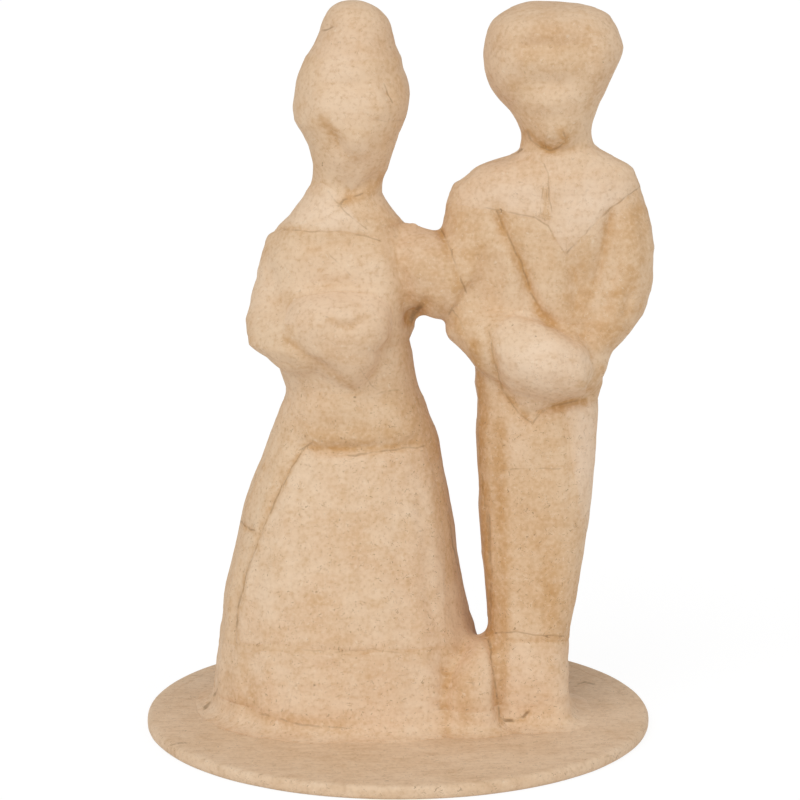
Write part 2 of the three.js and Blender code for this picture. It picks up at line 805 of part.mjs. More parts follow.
function rimStrip() {
  const inner = BASE_DIAMETER / 2 - RIM_WIDTH;
  const profile = [];
  for (let step = 0; step <= RIM_STEPS; step += 1) {
    const angle = (step / RIM_STEPS - 1 / 2) * Math.PI;
    const radius = inner + RIM_WIDTH * Math.cos(angle);
    profile.push(new THREE.Vector2(radius, (BASE_TOP / 2) * (1 + Math.sin(angle))));
  }
  profile.push(profile[0].clone());
  const geometry = new THREE.LatheGeometry(profile, BOARD_SIDES);
  geometry.rotateX(Math.PI / 2);
  return solidOf(geometry);
}

const COVER_DIAMETER = BASE_DIAMETER - 2 * (RIM_WIDTH + GLUE_GAP);

// Materials, one for each mesh so that each can be changed by itself

const KRAFT = { color: 0xd9b78e, roughness: 0.85 };
const PALE = { color: 0xe2c4a2, roughness: 0.82 };
const PULP = { color: 0xdcbc98, roughness: 0.88 };
const GREY_BOARD = { color: 0xb3a38f, roughness: 0.9 };
const BASE_PAPER = { color: 0xcfb295, roughness: 0.86 };

const couple = new THREE.Group();

function place(name, solid, { color, roughness }) {
  const made = solid.getMesh();
  const geometry = new THREE.BufferGeometry();
  geometry.setAttribute("position", new THREE.BufferAttribute(made.vertProperties, 3));
  geometry.setIndex(new THREE.BufferAttribute(made.triVerts, 1));
  geometry.computeVertexNormals();
  const mesh = new THREE.Mesh(geometry, new THREE.MeshStandardMaterial({ color, roughness, metalness: 0 }));
  mesh.name = name;
  couple.add(mesh);
}

function placeBase() {
  place("base_under_paper", disc(COVER_DIAMETER, 0, PAPER), BASE_PAPER);
  place("base_board", disc(COVER_DIAMETER, BOARD_BOTTOM, BOARD_THICKNESS), GREY_BOARD);
  place("base_top_paper", disc(COVER_DIAMETER, TOP_PAPER_BOTTOM, PAPER), BASE_PAPER);
  place("base_rim_strip", rimStrip(), BASE_PAPER);
}

const bridgeGuard = bridgeForm(GLUE_GAP);
const linkGuard = linkForm(GLUE_GAP);
const bouquetGuard = bouquetForm(GLUE_GAP);

function placeBride() {
  const skirt = (shares) => outlineOn(SKIRT, shares);
  const bodice = (shares) => outlineOn(BODICE, shares);
  const cutIn = brideForm(GLUE_GAP);
  const stripFront = BRIDE_PARTING - SEAM_STRIP_WIDTH / 2;
  const stripBack = BRIDE_PARTING + SEAM_STRIP_WIDTH / 2;
  const strip = (side) => seamStrip(brideForm, SKIRT, side, SKIRT_SEAM_SHARES, stripFront, stripBack);
  place("bride_front_shell", brideShells.front, KRAFT);
  place("bride_back_shell", brideShells.back, KRAFT);
  place("bride_bun", loft(bunLoft, 0).subtract(cutIn), PULP);
  place("bride_bouquet", bouquetForm(0).subtract(cutIn), PULP);
  place("bride_skirt_front_paper", brideFront(skirt(SKIRT_PANEL_SHARES)), PALE);
  place("bride_hem_strip", brideFront(skirt(HEM_STRIP_SHARES)).subtract(bridgeGuard), PALE);
  place("bride_skirt_back_paper", brideRear(skirt(SKIRT_BACK_SHARES)), PALE);
  place("bride_waist_paper", brideFront(skirt(WAIST_PAPER_SHARES)).subtract(bouquetGuard), KRAFT);
  const bodicePaper = brideFront(bodice(BODICE_PAPER_SHARES));
  place("bride_bodice_paper", bodicePaper.subtract(bouquetGuard).subtract(linkGuard), KRAFT);
  place("bride_shoulder_paper", brideFront(bodice(SHOULDER_PAPER_SHARES)).subtract(linkGuard), PALE);
  place("bride_outer_seam_strip", strip(-1), KRAFT);
  place("bride_inner_seam_strip", strip(1), KRAFT);
}
function placeGroom() {
  const coat = (shares) => outlineOn(COAT, shares);
  const trousers = (shares) => outlineOn(TROUSERS, shares);
  const innerFront = GROOM_PARTING - LEG_STRIP_WIDTH / 2;
  const outerFront = GROOM_PARTING - SEAM_STRIP_WIDTH / 10;
  const inner = seamStrip(groomForm, TROUSERS, -1, LEG_SEAM_SHARES, innerFront, innerFront + LEG_STRIP_WIDTH);
  const outer = seamStrip(groomForm, TROUSERS, 1, LEG_SEAM_SHARES, outerFront, outerFront + SEAM_STRIP_WIDTH);
  const hip = sheetOn(groomForm, trousers(HIP_PAPER_SHARES), -REACH, outerFront - GLUE_GAP);
  const sleeve = groomFront(coat(SLEEVE_PAPER_SHARES));
  const ankle = groomFront(outlineOn(FOOT, ANKLE_PAPER_SHARES));
  place("groom_front_shell", clearOfBride(groomShells.front), KRAFT);
  place("groom_back_shell", clearOfBride(groomShells.back), KRAFT);
  place("groom_hair_cap", hairCap(), PULP);
  place("groom_shirt_paper", groomFront(coat(SHIRT_PAPER_SHARES)), PALE);
  place("groom_tie", groomFront(coat(TIE_SHARES), 1), KRAFT);
  place("groom_coat_front_paper", groomFront(coat(COAT_FRONT_SHARES)), KRAFT);
  place("groom_inner_sleeve_paper", clearOfBride(sleeve.subtract(linkGuard)), KRAFT);
  place("groom_outer_sleeve_paper", groomFront(coat(OUTER_SLEEVE_SHARES)), KRAFT);
  place("groom_hand_paper", groomFront(coat(HAND_PAPER_SHARES)), PALE);
  place("groom_trouser_paper", groomFront(trousers(TROUSER_PAPER_SHARES)), KRAFT);
  place("groom_hip_paper", hip, PALE);
  place("groom_ankle_paper", clearOfBride(ankle.subtract(bridgeGuard)), PALE);
  place("groom_inner_seam_strip", clearOfBride(inner), KRAFT);
  place("groom_outer_seam_strip", outer, KRAFT);
  place("groom_coat_back_paper", groomRear(coat(COAT_BACK_SHARES)), KRAFT);
}
// The linking arm, the web between skirt and leg, and the two foot collars are cut by the figures they join.
function placeJoins() {
  const figures = (solid) => solid.subtract(brideForm(GLUE_GAP)).subtract(groomForm(GLUE_GAP));
  const skirtCollar = collarOn(brideForm, SKIRT).subtract(groomForm(LAYER + GLUE_GAP));
  const brideCollar = skirtCollar.subtract(bridgeGuard);
  const groomCollar = collarOn(groomForm, FOOT).subtract(bridgeGuard);
  const grownSkirt = { ...SKIRT, width: SKIRT_WIDTH + 2 * GLUE_GAP, depth: SKIRT_DEPTH + 2 * GLUE_GAP };
  const collarGuard = collarOn(brideForm, grownSkirt);
  place("bride_linking_arm", figures(linkForm(0)), PULP);
  place("skirt_leg_bridge", figures(bridgeForm(0)), PULP);
  place("bride_foot_collar", brideCollar, PALE);
  place("groom_foot_collar", clearOfBride(groomCollar).subtract(collarGuard), PALE);
}

placeBase();
placeBride();
placeGroom();
placeJoins();

export default couple;
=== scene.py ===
"""The looks of a papier-mache wedding couple on a round board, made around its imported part."""

import math

import bmesh
import bpy
import numpy as np
from mathutils import Matrix, Vector
from mathutils.bvhtree import BVHTree


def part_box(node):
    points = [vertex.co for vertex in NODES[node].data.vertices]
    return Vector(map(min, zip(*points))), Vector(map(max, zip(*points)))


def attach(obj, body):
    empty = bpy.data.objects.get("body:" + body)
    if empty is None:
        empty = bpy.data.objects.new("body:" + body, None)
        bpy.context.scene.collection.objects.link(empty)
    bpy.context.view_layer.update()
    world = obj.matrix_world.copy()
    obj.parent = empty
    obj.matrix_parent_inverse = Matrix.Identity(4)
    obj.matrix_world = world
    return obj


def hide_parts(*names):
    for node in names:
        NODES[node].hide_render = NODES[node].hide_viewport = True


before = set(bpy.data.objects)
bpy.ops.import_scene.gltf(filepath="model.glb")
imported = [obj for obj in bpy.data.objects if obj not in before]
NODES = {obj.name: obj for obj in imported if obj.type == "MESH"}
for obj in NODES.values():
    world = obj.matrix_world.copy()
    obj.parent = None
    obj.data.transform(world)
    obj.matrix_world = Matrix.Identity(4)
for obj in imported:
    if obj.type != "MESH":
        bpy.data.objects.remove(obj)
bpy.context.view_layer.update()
MM = 0.001  # lengths below are millimetres, and Blender's are metres


def lowest(node):
    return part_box(node)[0] / MM


def highest(node):
    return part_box(node)[1] / MM


BOARD_TOP = highest("base_top_paper").z
FOOT_LEVEL = lowest("bride_front_shell").z
BRIDE_PARTING = (highest("bride_front_shell").y + lowest("bride_back_shell").y) / 2
GROOM_PARTING = (highest("groom_front_shell").y + lowest("groom_back_shell").y) / 2
BRIDE_X = (highest("bride_hem_strip").x + lowest("bride_hem_strip").x) / 2
GROOM_X = (highest("groom_ankle_paper").x + lowest("groom_ankle_paper").x) / 2
BASE_RADIUS = highest("base_rim_strip").x
COVER_RADIUS = highest("base_top_paper").x

# The photograph's view: the camera is this far from its aim and looks down on it.
PHOTO_SIZE = 800
CAMERA_AIM = (0.51, 0, 82.46)
CAMERA_DISTANCE = 1000
CAMERA_TILT = math.radians(12.68)
FOCAL_PIXELS = 4074.9
SENSOR = 36
TO_CAMERA = np.array([0, -math.cos(CAMERA_TILT), math.sin(CAMERA_TILT)])

# The pressed surface: its fineness, and how far it swells, sinks in and springs back
FORM_VOXEL = 1.0
CLOSING = 0.3
SETTLING = 0.15
HEAD_SPRING = 0.55
PLUG_RISE = 1
PLUG_DROP = 4
STANDING_GAP = 0.05
MERGING = 1e-6  # metres
SHARP_BEND = 0.85  # radians

# Passes that even it out everywhere, on the broad forms and on the soft ones, and between which heights
EVEN_PASSES, BROAD_PASSES, SOFT_PASSES = 14, 50, 26
SKIRTS = (86, 76)
SHOULDERS = (138, 150)
HEADS = (147, 154)
LAP_FROM, LAP_TO = (84, 92), (116, 108)


def camera():
    data = bpy.data.cameras.new("camera")
    data.sensor_width = SENSOR
    data.lens = SENSOR * FOCAL_PIXELS / PHOTO_SIZE
    data.clip_start, data.clip_end = 0.05, 20
    made = bpy.data.objects.new("camera", data)
    away = Vector(TO_CAMERA)
    made.location = (Vector(CAMERA_AIM) + away * CAMERA_DISTANCE) * MM
    made.rotation_euler = (-away).to_track_quat("-Z", "Y").to_euler()
    bpy.context.collection.objects.link(made)
    bpy.context.scene.camera = made


camera()


def photo_xy(points):
    """Where points, in millimetres, are seen in the photograph, in its pixels."""
    across, back, up = points[:, 0] - CAMERA_AIM[0], points[:, 1], points[:, 2] - CAMERA_AIM[2]
    rise = up * math.cos(CAMERA_TILT) + back * math.sin(CAMERA_TILT)
    far = CAMERA_DISTANCE + back * math.cos(CAMERA_TILT) - up * math.sin(CAMERA_TILT)
    middle = PHOTO_SIZE / 2
    return np.stack([middle + FOCAL_PIXELS * across / far, middle - FOCAL_PIXELS * rise / far], axis=1)


# Meshes as arrays


def points_of(mesh):
    flat = np.empty(len(mesh.vertices) * 3, dtype=np.float32)
    mesh.vertices.foreach_get("co", flat)
    return flat.reshape(-1, 3).astype(float) / MM


def set_points(mesh, points):
    mesh.vertices.foreach_set("co", (points * MM).astype(np.float32).ravel())
    mesh.update()


def normals_of(mesh):
    flat = np.empty(len(mesh.vertices) * 3, dtype=np.float32)
    mesh.vertex_normals.foreach_get("vector", flat)
    return flat.reshape(-1, 3).astype(float)


def face_values(mesh, name):
    flat = np.empty(len(mesh.polygons) * 3, dtype=np.float32)
    mesh.polygons.foreach_get(name, flat)
    return flat.reshape(-1, 3).astype(float)


def point_values(mesh, name):
    """A number for each point, and 0 where the mesh has none by that name."""
    flat = np.zeros(len(mesh.vertices), dtype=np.float32)
    if name in mesh.attributes:
        mesh.attributes[name].data.foreach_get("value", flat)
    return flat.astype(float)


def edges_of(mesh):
    flat = np.empty(len(mesh.edges) * 2, dtype=np.int32)
    mesh.edges.foreach_get("vertices", flat)
    return flat.reshape(-1, 2)


def step(low, high, values):
    """0 below the first value, 1 above the second, and smooth between them."""
    t = np.clip((values - low) / (high - low), 0, 1)
    return t * t * (3 - 2 * t)


HILL_GRID = 32
HILLS = np.random.default_rng(7).uniform(-0.8, 0.8, (HILL_GRID, HILL_GRID, HILL_GRID))
HILL_TURN = np.array([[0.8, 0.48, 0.36], [-0.6, 0.64, 0.48], [0, -0.6, 0.8]])


def rough(points, size, seed=0.0):
    """Smooth noise about zero, with hollows and bumps of a size."""
    scaled = points @ HILL_TURN / size + 5.7 * seed
    corner = np.floor(scaled).astype(int)
    share = scaled - corner
    share = share * share * (3 - 2 * share)
    total = np.zeros(len(points))
    for offset in np.ndindex(2, 2, 2):
        weight = np.where(offset, share, 1 - share).prod(axis=1)
        total += weight * HILLS[tuple(((corner + offset) % HILL_GRID).T)]
    return total


def line_distance(points, line):
    """How far 2-D points are from a line of points."""
    nearest = np.full(len(points), np.inf)
    for start, end in zip(line[:-1], line[1:]):
        a, way = np.array(start, float), np.subtract(end, start).astype(float)
        share = np.clip((points - a) @ way / max(way @ way, 1e-9), 0, 1)
        nearest = np.minimum(nearest, np.linalg.norm(points - a - share[:, None] * way, axis=1))
    return nearest


def inside(points, outline):
    """Which 2-D points lie inside an outline."""
    x, y = points[:, 0], points[:, 1]
    found = np.zeros(len(points), dtype=bool)
    for (ax, ay), (bx, by) in zip(outline, outline[1:] + outline[:1]):
        if ay != by:
            crossing = (ay > y) != (by > y)
            found ^= crossing & (x < (bx - ax) * (y - ay) / (by - ay) + ax)
    return found


def new_object(name, mesh):
    made = bpy.data.objects.new(name, mesh)
    bpy.context.collection.objects.link(made)
    return made


def mesh_from(name, bm):
    mesh = bpy.data.meshes.new(name)
    bm.to_mesh(mesh)
    bm.free()
    return mesh


def finished_mesh(mesh, kind, **settings):
    """The mesh after one modifier."""
    made = new_object("working", mesh)
    modifier = made.modifiers.new("one", kind)
    for name, value in settings.items():
        setattr(modifier, name, value)
    after = bpy.data.meshes.new_from_object(made.evaluated_get(bpy.context.evaluated_depsgraph_get()))
    bpy.data.objects.remove(made)
    bpy.data.meshes.remove(mesh)
    return after


def merged(*names):
    """One mesh of some nodes, their doubled points made one."""
    bm = bmesh.new()
    for name in names:
        bm.from_mesh(NODES[name].data)
    bmesh.ops.remove_doubles(bm, verts=bm.verts[:], dist=MERGING)
    bm.normal_update()
    return bm


def grow(bm, amount):
    """Moves a surface outwards by an even amount."""
    moves = [(v, v.normal * min(v.calc_shell_factor(), 2) * amount * MM) for v in bm.verts]
    for v, move in moves:
        v.co += move


def smoothed(points, edges, passes, weights=1.0, shares=(0.5, -0.52)):
    """Evens a mesh out, and keeps its volume with the shares as they are."""
    a, b = edges.T
    count = len(points)
    joined = np.bincount(a, minlength=count) + np.bincount(b, minlength=count)
    for _ in range(passes):
        for share in shares:
            around = np.stack(
                [
                    np.bincount(a, points[b, axis], count) + np.bincount(b, points[a, axis], count)
                    for axis in range(3)
                ],
                axis=1,
            )
            points = points + share * weights * (around / joined[:, None] - points)
    return points


# The skin that both figures share: their moulded forms and the pulp on them, pressed into one surface

FORM_NODES = (
    "bride_front_shell",
    "bride_back_shell",
    "bride_bun",
    "bride_bouquet",
    "bride_linking_arm",
    "groom_front_shell",
    "groom_back_shell",
    "groom_hair_cap",
    "skirt_leg_bridge",
)
FEET = (
    ("bride_front_shell", "bride_back_shell"),
    ("groom_front_shell", "groom_back_shell"),
    ("skirt_leg_bridge",),
)
# Balls that close the thin wall of the groom's neck and a slit under his hair: middle and radius
FILLINGS = (
    ((37, -0.4, 147), 7.6),
    ((45.2, -9.8, 172), 1.5),
)


def foot_plug(names):
    """A solid foot that closes a hollow form and goes down into the board."""
    bm = bmesh.new()
    for name in names:
        for vertex in NODES[name].data.vertices:
            x, y, z = vertex.co
            if z < (FOOT_LEVEL + PLUG_RISE) * MM:
                bm.verts.new((x, y, z))
                bm.verts.new((x, y, z - PLUG_DROP * MM))
    made = bmesh.ops.convex_hull(bm, input=bm.verts[:])
    spare = {g for g in made["geom_interior"] + made["geom_unused"] if isinstance(g, bmesh.types.BMVert)}
    bmesh.ops.delete(bm, geom=list(spare), context="VERTS")
    return mesh_from("plug", bm)


def pressed_form():
    """Both figures' moulded forms and pulp as one closed surface."""
    bm = merged(*FORM_NODES)
    for names in FEET:
        bm.from_mesh(foot_plug(names))
    bm.normal_update()
    grow(bm, CLOSING)
    for middle, radius in FILLINGS:
        spot = Matrix.Translation(Vector(middle) * MM)
        bmesh.ops.create_icosphere(bm, subdivisions=3, radius=radius * MM, matrix=spot)
    mesh = mesh_from("form", bm)
    mesh = finished_mesh(mesh, "REMESH", mode="VOXEL", voxel_size=FORM_VOXEL * MM)
    points, edges = points_of(mesh), edges_of(mesh)
    heights = points[:, 2]
    broad = step(*SKIRTS, heights) * step(FOOT_LEVEL - 2, FOOT_LEVEL + 4, heights)
    broad = np.maximum(broad, 0.8 * step(*SHOULDERS, heights))
    points = smoothed(points, edges, EVEN_PASSES)
    points = smoothed(points, edges, BROAD_PASSES, broad[:, None])
    lap = 0.5 * step(*LAP_FROM, heights) * step(*LAP_TO, heights) * is_bride(points) * (points[:, 1] < 0)
    soft = np.maximum(step(*HEADS, heights), lap)[:, None]
    points = smoothed(points, edges, SOFT_PASSES, 0.9 * soft, (0.5,))
    set_points(mesh, points)
    set_points(mesh, points + HEAD_SPRING * soft * normals_of(mesh))
    return finished_mesh(mesh, "SUBSURF", levels=1, render_levels=1)


# How far the outline moves sideways at a height, in millimetres: height, left edge, right edge
BRIDE_FIT = (
    (3, -0.7, 0), (9, -1.3, -0.2), (16, -1.2, -0.3), (21, -0.7, -0.4), (26, -0.5, -0.5), (32, -0.8, -0.5),
    (41, -0.6, 0), (50, -0.6, 0.5), (55, -0.8, 0.3), (62, -0.4, 0), (71, -0.3, 0), (83, 0.2, 0.5), (86, 0.5, 0),
    (92, -0.3, -0.5), (95, 0.7, -0.7), (98, -1, -1.4), (101, -0.5, 0),
    (107, 0.7, 0), (113, 1.2, 0), (119, 0, 0), (125, -1, 0), (128, -0.4, 1), (134, 0, -0.5), (140, 0.2, 0.4),
    (146, 0.7, -0.2), (149, 0.5, -0.5), (152, -0.5, -0.3), (158, -0.3, 0.3), (164, -0.5, -0.2), (167, -1, 0.4),
    (170, 0, -0.5), (173, 0.5, -0.7), (180, 0, -0.3),
)
GROOM_FIT = (
    (3, 0, -0.6), (9, 0.2, -1), (20, 0.3, -1.2), (26, 0.3, -1.1), (32, 0.2, -0.4), (44, -0.9, 0.2), (50, -0.4, 0.2),
    (60, -0.2, 0.2), (74, -0.7, 0.5), (83, -0.3, 0.7), (87, -1, 1.8), (92, -0.5, 1), (96, -0.3, -0.3),
    (101, -1.2, 0.7), (107, -1, 1.1), (116, 0, 0.9), (125, -1, 0.9), (131, -0.8, 0.9), (137, -0.4, 1.4),
    (140, -0.5, 2), (143, -0.2, 1.3), (146, -0.5, 0.3), (152, 0, 0), (158, 0, 0.2), (164, -0.3, 0.5), (170, 0, 1),
    (173, -0.3, 0.4), (176, -0.8, 0.2), (180, -0.3, 1.2),
)
# Places where the form is drawn out: centre, reach and move, in millimetres
DRAWN = (
    ((7, -4, 105), 6, (0, 0, -1.9)),
    ((2.2, 0, 127.2), 3.2, (0, 0, 1.2)),
    ((7.4, -4, 103.8), 2.8, (0, 0, 1.2)),
)
HOLLOW_PASSES = 16
# The line between the two figures: height, sideways place
DIVIDE = ((0, 24.6), (4, 24), (24, 20.8), (60, 15.5), (98, 8), (104, 9.6), (130, 9.6), (180, 9.6))
# Where the figures are joined, as heights, and how near to a joint the outline keeps its place
JOINED_FEET = (30, 24)
JOINED_ARMS = ((99, 104), (133, 128))
JOINT_REACH = (7, 1.5)
FIT_BAND = 2


def table_at(table, column, heights):
    rows = np.array(table, float)
    return np.interp(heights, rows[:, 0], rows[:, column])


def is_bride(points):
    return points[:, 0] < table_at(DIVIDE, 1, points[:, 2])


def fitted(points, who, table):
    """Moves one figure's outline sideways, least in its middle and where it is joined to the other."""
    heights = points[who, 2]
    x = points[who, 0]
    low, high = JOINED_ARMS
    joined = step(*JOINED_FEET, heights) + step(*low, heights) * step(*high, heights)
    free = 1 - joined * step(*JOINT_REACH, np.abs(x - table_at(DIVIDE, 1, heights)))
    bins = np.round(heights / FIT_BAND).astype(int)
    left = np.full(bins.max() + 1, np.inf)
    right = np.full(bins.max() + 1, -np.inf)
    np.minimum.at(left, bins, x)
    np.maximum.at(right, bins, x)
    share = np.clip((x - left[bins]) / np.maximum(right[bins] - left[bins], 1), 0, 1)
    moves = table_at(table, 1, heights) * (1 - share) + table_at(table, 2, heights) * share
    points[who, 0] = x + free * moves
    return points


# Lines that several of the lists below follow, in the photograph's pixels
SKIRT_EDGE = ((306, 447), (292, 467), (277, 497), (261, 534), (246, 574), (238, 610), (236, 644))
SKIRT_TEAR = ((240, 521), (251, 530), (262, 537))
BROW_TEAR = ((384, 84), (388, 94), (392, 103))

# Creases: depth in millimetres, width in pixels, then the photograph's pixels that they follow
CREASES = (
    (0.7, 4, ((318, 30), (327, 27), (338, 24))),
    (0.8, 5, ((341, 186), (352, 193), (362, 188), (372, 180), (379, 172))),
    (0.7, 4, ((437, 222), (447, 248), (457, 275), (461, 292))),
    (1.3, 7, ((496, 210), (507, 234), (520, 263), (527, 284), (538, 311), (550, 323), (570, 335), (585, 345))),
    (1.1, 8, ((612, 206), (604, 240), (595, 280), (588, 292))),
    (0.8, 6, ((628, 290), (625, 305), (622, 323))),
    (0.9, 6, ((489, 332), (496, 367), (503, 391), (520, 410), (531, 423))),
    (1.2, 6, ((531, 418), (548, 408), (565, 404), (585, 402), (596, 396))),
    (0.8, 6, ((287, 340), (302, 350), (323, 366), (340, 379), (352, 386))),
    (0.7, 5, ((328, 325), (345, 327), (365, 322))),
    (0.9, 7, ((303, 446), (330, 452), (360, 450), (395, 446), (424, 440))),
    (0.35, 3, SKIRT_EDGE),
    (0.35, 3, SKIRT_TEAR),
    (0.4, 9, ((446, 738), (447, 715), (446, 690), (443, 660))),
    (1.2, 5, ((487, 634), (493, 650), (497, 672), (498, 700), (500, 724))),
    (0.7, 6, ((240, 703), (259, 715), (276, 721), (293, 727), (328, 724), (349, 728))),
    (0.9, 5, ((512, 722), (522, 719), (532, 712))),
    (0.7, 4, ((536, 143), (546, 150), (560, 152), (573, 148), (580, 140))),
    (0.6, 4, BROW_TEAR),
    (0.3, 4, ((367, 113), (374, 120), (404, 120))),
    (1.8, 6, ((409, 324), (414, 313), (424, 303))),
    (0.6, 6, ((322, 120), (330, 132), (340, 150), (352, 162))),
    (0.7, 8, ((404, 262), (405, 300), (408, 330))),
    (0.7, 8, ((560, 250), (572, 270), (576, 300), (578, 320))),
)

# Lumps and hollows: height in millimetres, centre, half width, half height, all but the first in pixels
LUMPS = (
    (1.4, 326, 108, 18, 24),
    (1.0, 372, 60, 18, 16),
    (-1.1, 346, 84, 22, 9),
    (1.2, 380, 114, 14, 18),
    (1.1, 356, 140, 20, 12),
    (-0.8, 338, 142, 10, 10),
    (1.4, 556, 133, 19, 13),
    (1.0, 545, 60, 34, 12),
    (-0.8, 552, 84, 30, 9),
    (0.8, 545, 104, 18, 10),
    (1.3, 330, 318, 44, 24),
    (1.2, 290, 312, 22, 30),
    (-0.9, 330, 285, 34, 9),
    (1.0, 375, 262, 18, 26),
    (-0.7, 318, 243, 30, 8),
    (1.0, 418, 258, 16, 24),
    (1.9, 546, 362, 36, 32),
    (1.2, 512, 345, 14, 26),
    (1.2, 510, 268, 10, 40),
    (1.2, 476, 262, 15, 38),
    (1.1, 624, 250, 12, 42),
    (-1.0, 577, 290, 14, 30),
    (0.9, 470, 690, 20, 36),
    (1.2, 330, 408, 34, 16),
    (-0.8, 372, 396, 22, 12),
    (0.9, 545, 186, 40, 12),
    (0.6, 535, 682, 30, 28),
    (-0.8, 338, 448, 30, 6),
    (0.7, 345, 215, 24, 12),
)


# Unevenness of the hand-laid paper: height, size, seed
HAND = ((0.9, 19, 3.1), (0.6, 9, 9.7))
FINE_HAND = (0.12, 3.2, 5.3)
# How much closer together the paper's wrinkles are, along each direction
LEVEL_WRINKLES = (0.5, 0.5, 2.2)
UPRIGHT_WRINKLES = (1.7, 1.7, 0.35)
WRINKLE_SIZE = 3
WRINKLE_DEPTH = 0.13
CREASE_END = 12  # pixels over which a crease runs out


def relief(points, normals):
    """How far the surface stands out or sinks in, over both figures."""
    seen = photo_xy(points)
    facing = step(0.0, 0.35, normals @ TO_CAMERA)
    lift = np.zeros(len(points))
    for height, x, y, wide, tall in LUMPS:
        lift += height * np.exp(-(((seen[:, 0] - x) / wide) ** 2) - ((seen[:, 1] - y) / tall) ** 2)
    for depth, width, line in CREASES:
        away = line_distance(seen, line)
        ends = np.minimum(np.linalg.norm(seen - line[0], axis=1), np.linalg.norm(seen - line[-1], axis=1))
        lift -= depth * (0.35 + 0.65 * step(0, CREASE_END, ends)) * np.exp(-((away / width) ** 2))
    busy = 0.55 + 0.45 * step(76, 90, points[:, 2])
    hand = sum(height * rough(points, size, seed) for height, size, seed in HAND)
    low = step(34, 22, points[:, 2])
    upright = (1 - low) * step(96, 84, points[:, 2])
    wrinkles = low * rough(points * LEVEL_WRINKLES, WRINKLE_SIZE, 4.1)
    wrinkles = wrinkles + upright * rough(points * UPRIGHT_WRINKLES, WRINKLE_SIZE, 6.1)
    height, size, seed = FINE_HAND
    return lift * facing + busy * hand + height * rough(points, size, seed) + WRINKLE_DEPTH * wrinkles


def shaped_skin():
    """The skin of both figures, with their relief and the photograph's outline."""
    mesh = pressed_form()
    points, normals = points_of(mesh), normals_of(mesh)
    points -= normals * SETTLING
    points += normals * relief(points, normals)[:, None]
    for centre, reach, move in DRAWN:
        away = np.linalg.norm(points - centre, axis=1)
        points += np.exp(-((away / reach) ** 2))[:, None] * np.array(move)
    who = is_bride(points)
    points = fitted(points, who, BRIDE_FIT)
    points = fitted(points, ~who, GROOM_FIT)
    set_points(mesh, points)
    around = smoothed(points, edges_of(mesh), HOLLOW_PASSES, shares=(0.6,))
    hollow = ((around - points) * normals_of(mesh)).sum(axis=1)
    mesh.attributes.new("hollow", "FLOAT", "POINT").data.foreach_set("value", hollow.astype(np.float32))
    bm = bmesh.new()
    bm.from_mesh(mesh)
    bpy.data.meshes.remove(mesh)
    return bm


# Cuts between the figures: a place on each in millimetres, how far it reaches, and the line that one follows
ARM_CUT = (9.6, -4, 115)
FOOT_CUT = (22.4, -6, 14)
FOOT_LINE = ((24, 0, 4), (20.8, 0, 24))
CUT_REACH = 26
ON_PLANE = 1e-7


def cut(bm, geom, place, direction, **settings):
    """Cuts faces along a plane, and gives the edges of the cut, marked sharp."""
    made = bmesh.ops.bisect_plane(bm, geom=geom, dist=ON_PLANE, plane_co=place, plane_no=direction, **settings)
    rim = [g for g in made["geom_cut"] if isinstance(g, bmesh.types.BMEdge)]
    for edge in rim:
        edge.smooth = False
    return rim


def cut_off(bm, place, outward):
    """Cuts away what lies beyond a plane and closes the cut with a sharp-edged face."""
    rim = cut(bm, bm.verts[:] + bm.edges[:] + bm.faces[:], Vector(place) * MM, outward, clear_outer=True)
    filled = bmesh.ops.triangle_fill(bm, edges=rim, use_beauty=True)["geom"]
    cap = [g for g in filled if isinstance(g, bmesh.types.BMFace)]
    for face in cap:
        face.normal_update()
    bmesh.ops.reverse_faces(bm, faces=[f for f in cap if f.normal.dot(Vector(outward)) < 0])


def cut_apart(bm, place, direction):
    """Cuts through a joint between the figures near a place, and closes both sides."""
    place, direction = Vector(place) * MM, Vector(direction)
    near = [f for f in bm.faces if (f.calc_center_median() - place).length < CUT_REACH * MM]
    geom = list({v for f in near for v in f.verts} | {e for f in near for e in f.edges}) + near
    opened = bmesh.ops.split_edges(bm, edges=cut(bm, geom, place, direction))["edges"]
    bmesh.ops.holes_fill(bm, edges=[e for e in opened if e.is_boundary], sides=0)


def figures(skin):
    """The skin's two figures, cut apart at the linked arms and at the feet."""
    bm = skin.copy()
    cut_apart(bm, ARM_CUT, (1, 0, 0))
    low, high = map(Vector, FOOT_LINE)
    way = (high - low).normalized()
    cut_apart(bm, FOOT_CUT, way.cross(Vector((0, 1, 0))))
    bm.normal_update()
    brides = is_bride(np.array([f.calc_center_median() - f.normal * STANDING_GAP * MM for f in bm.faces]) / MM)
    bride = bm.copy()
    for side, gone in ((bride, ~brides), (bm, brides)):
        side.faces.ensure_lookup_table()
        bmesh.ops.delete(side, geom=[side.faces[k] for k in np.flatnonzero(gone)], context="FACES")
        stand(side)
    return bride, bm


def stand(bm):
    """Cuts a form level, just over the board."""
    cut_off(bm, (0, 0, BOARD_TOP + STANDING_GAP), (0, 0, -1))


def shade_smooth(bm):
    """Smooth shading, save over edges that are bent sharply."""
    for face in bm.faces:
        face.smooth = True
    for edge in bm.edges:
        if edge.calc_face_angle(0) > SHARP_BEND:
            edge.smooth = False


def finish_piece(name, bm):
    """An object of a mesh that is shaded smooth, stained, given its painted shade and light, and ready to be
    placed.
    """
    shade_smooth(bm)
    mesh = mesh_from(name, bm)
    paint(mesh)
    return new_object(name, mesh)


def half_of(name, figure, parting, outward):
    """The front or back half of a figure."""
    bm = figure.copy()
    cut_off(bm, (0, parting, 0), (0, outward, 0))
    return finish_piece(name, bm)


# Pasted sheets and pressed lumps: each is a part of the skin's faces, lifted and given a thickness

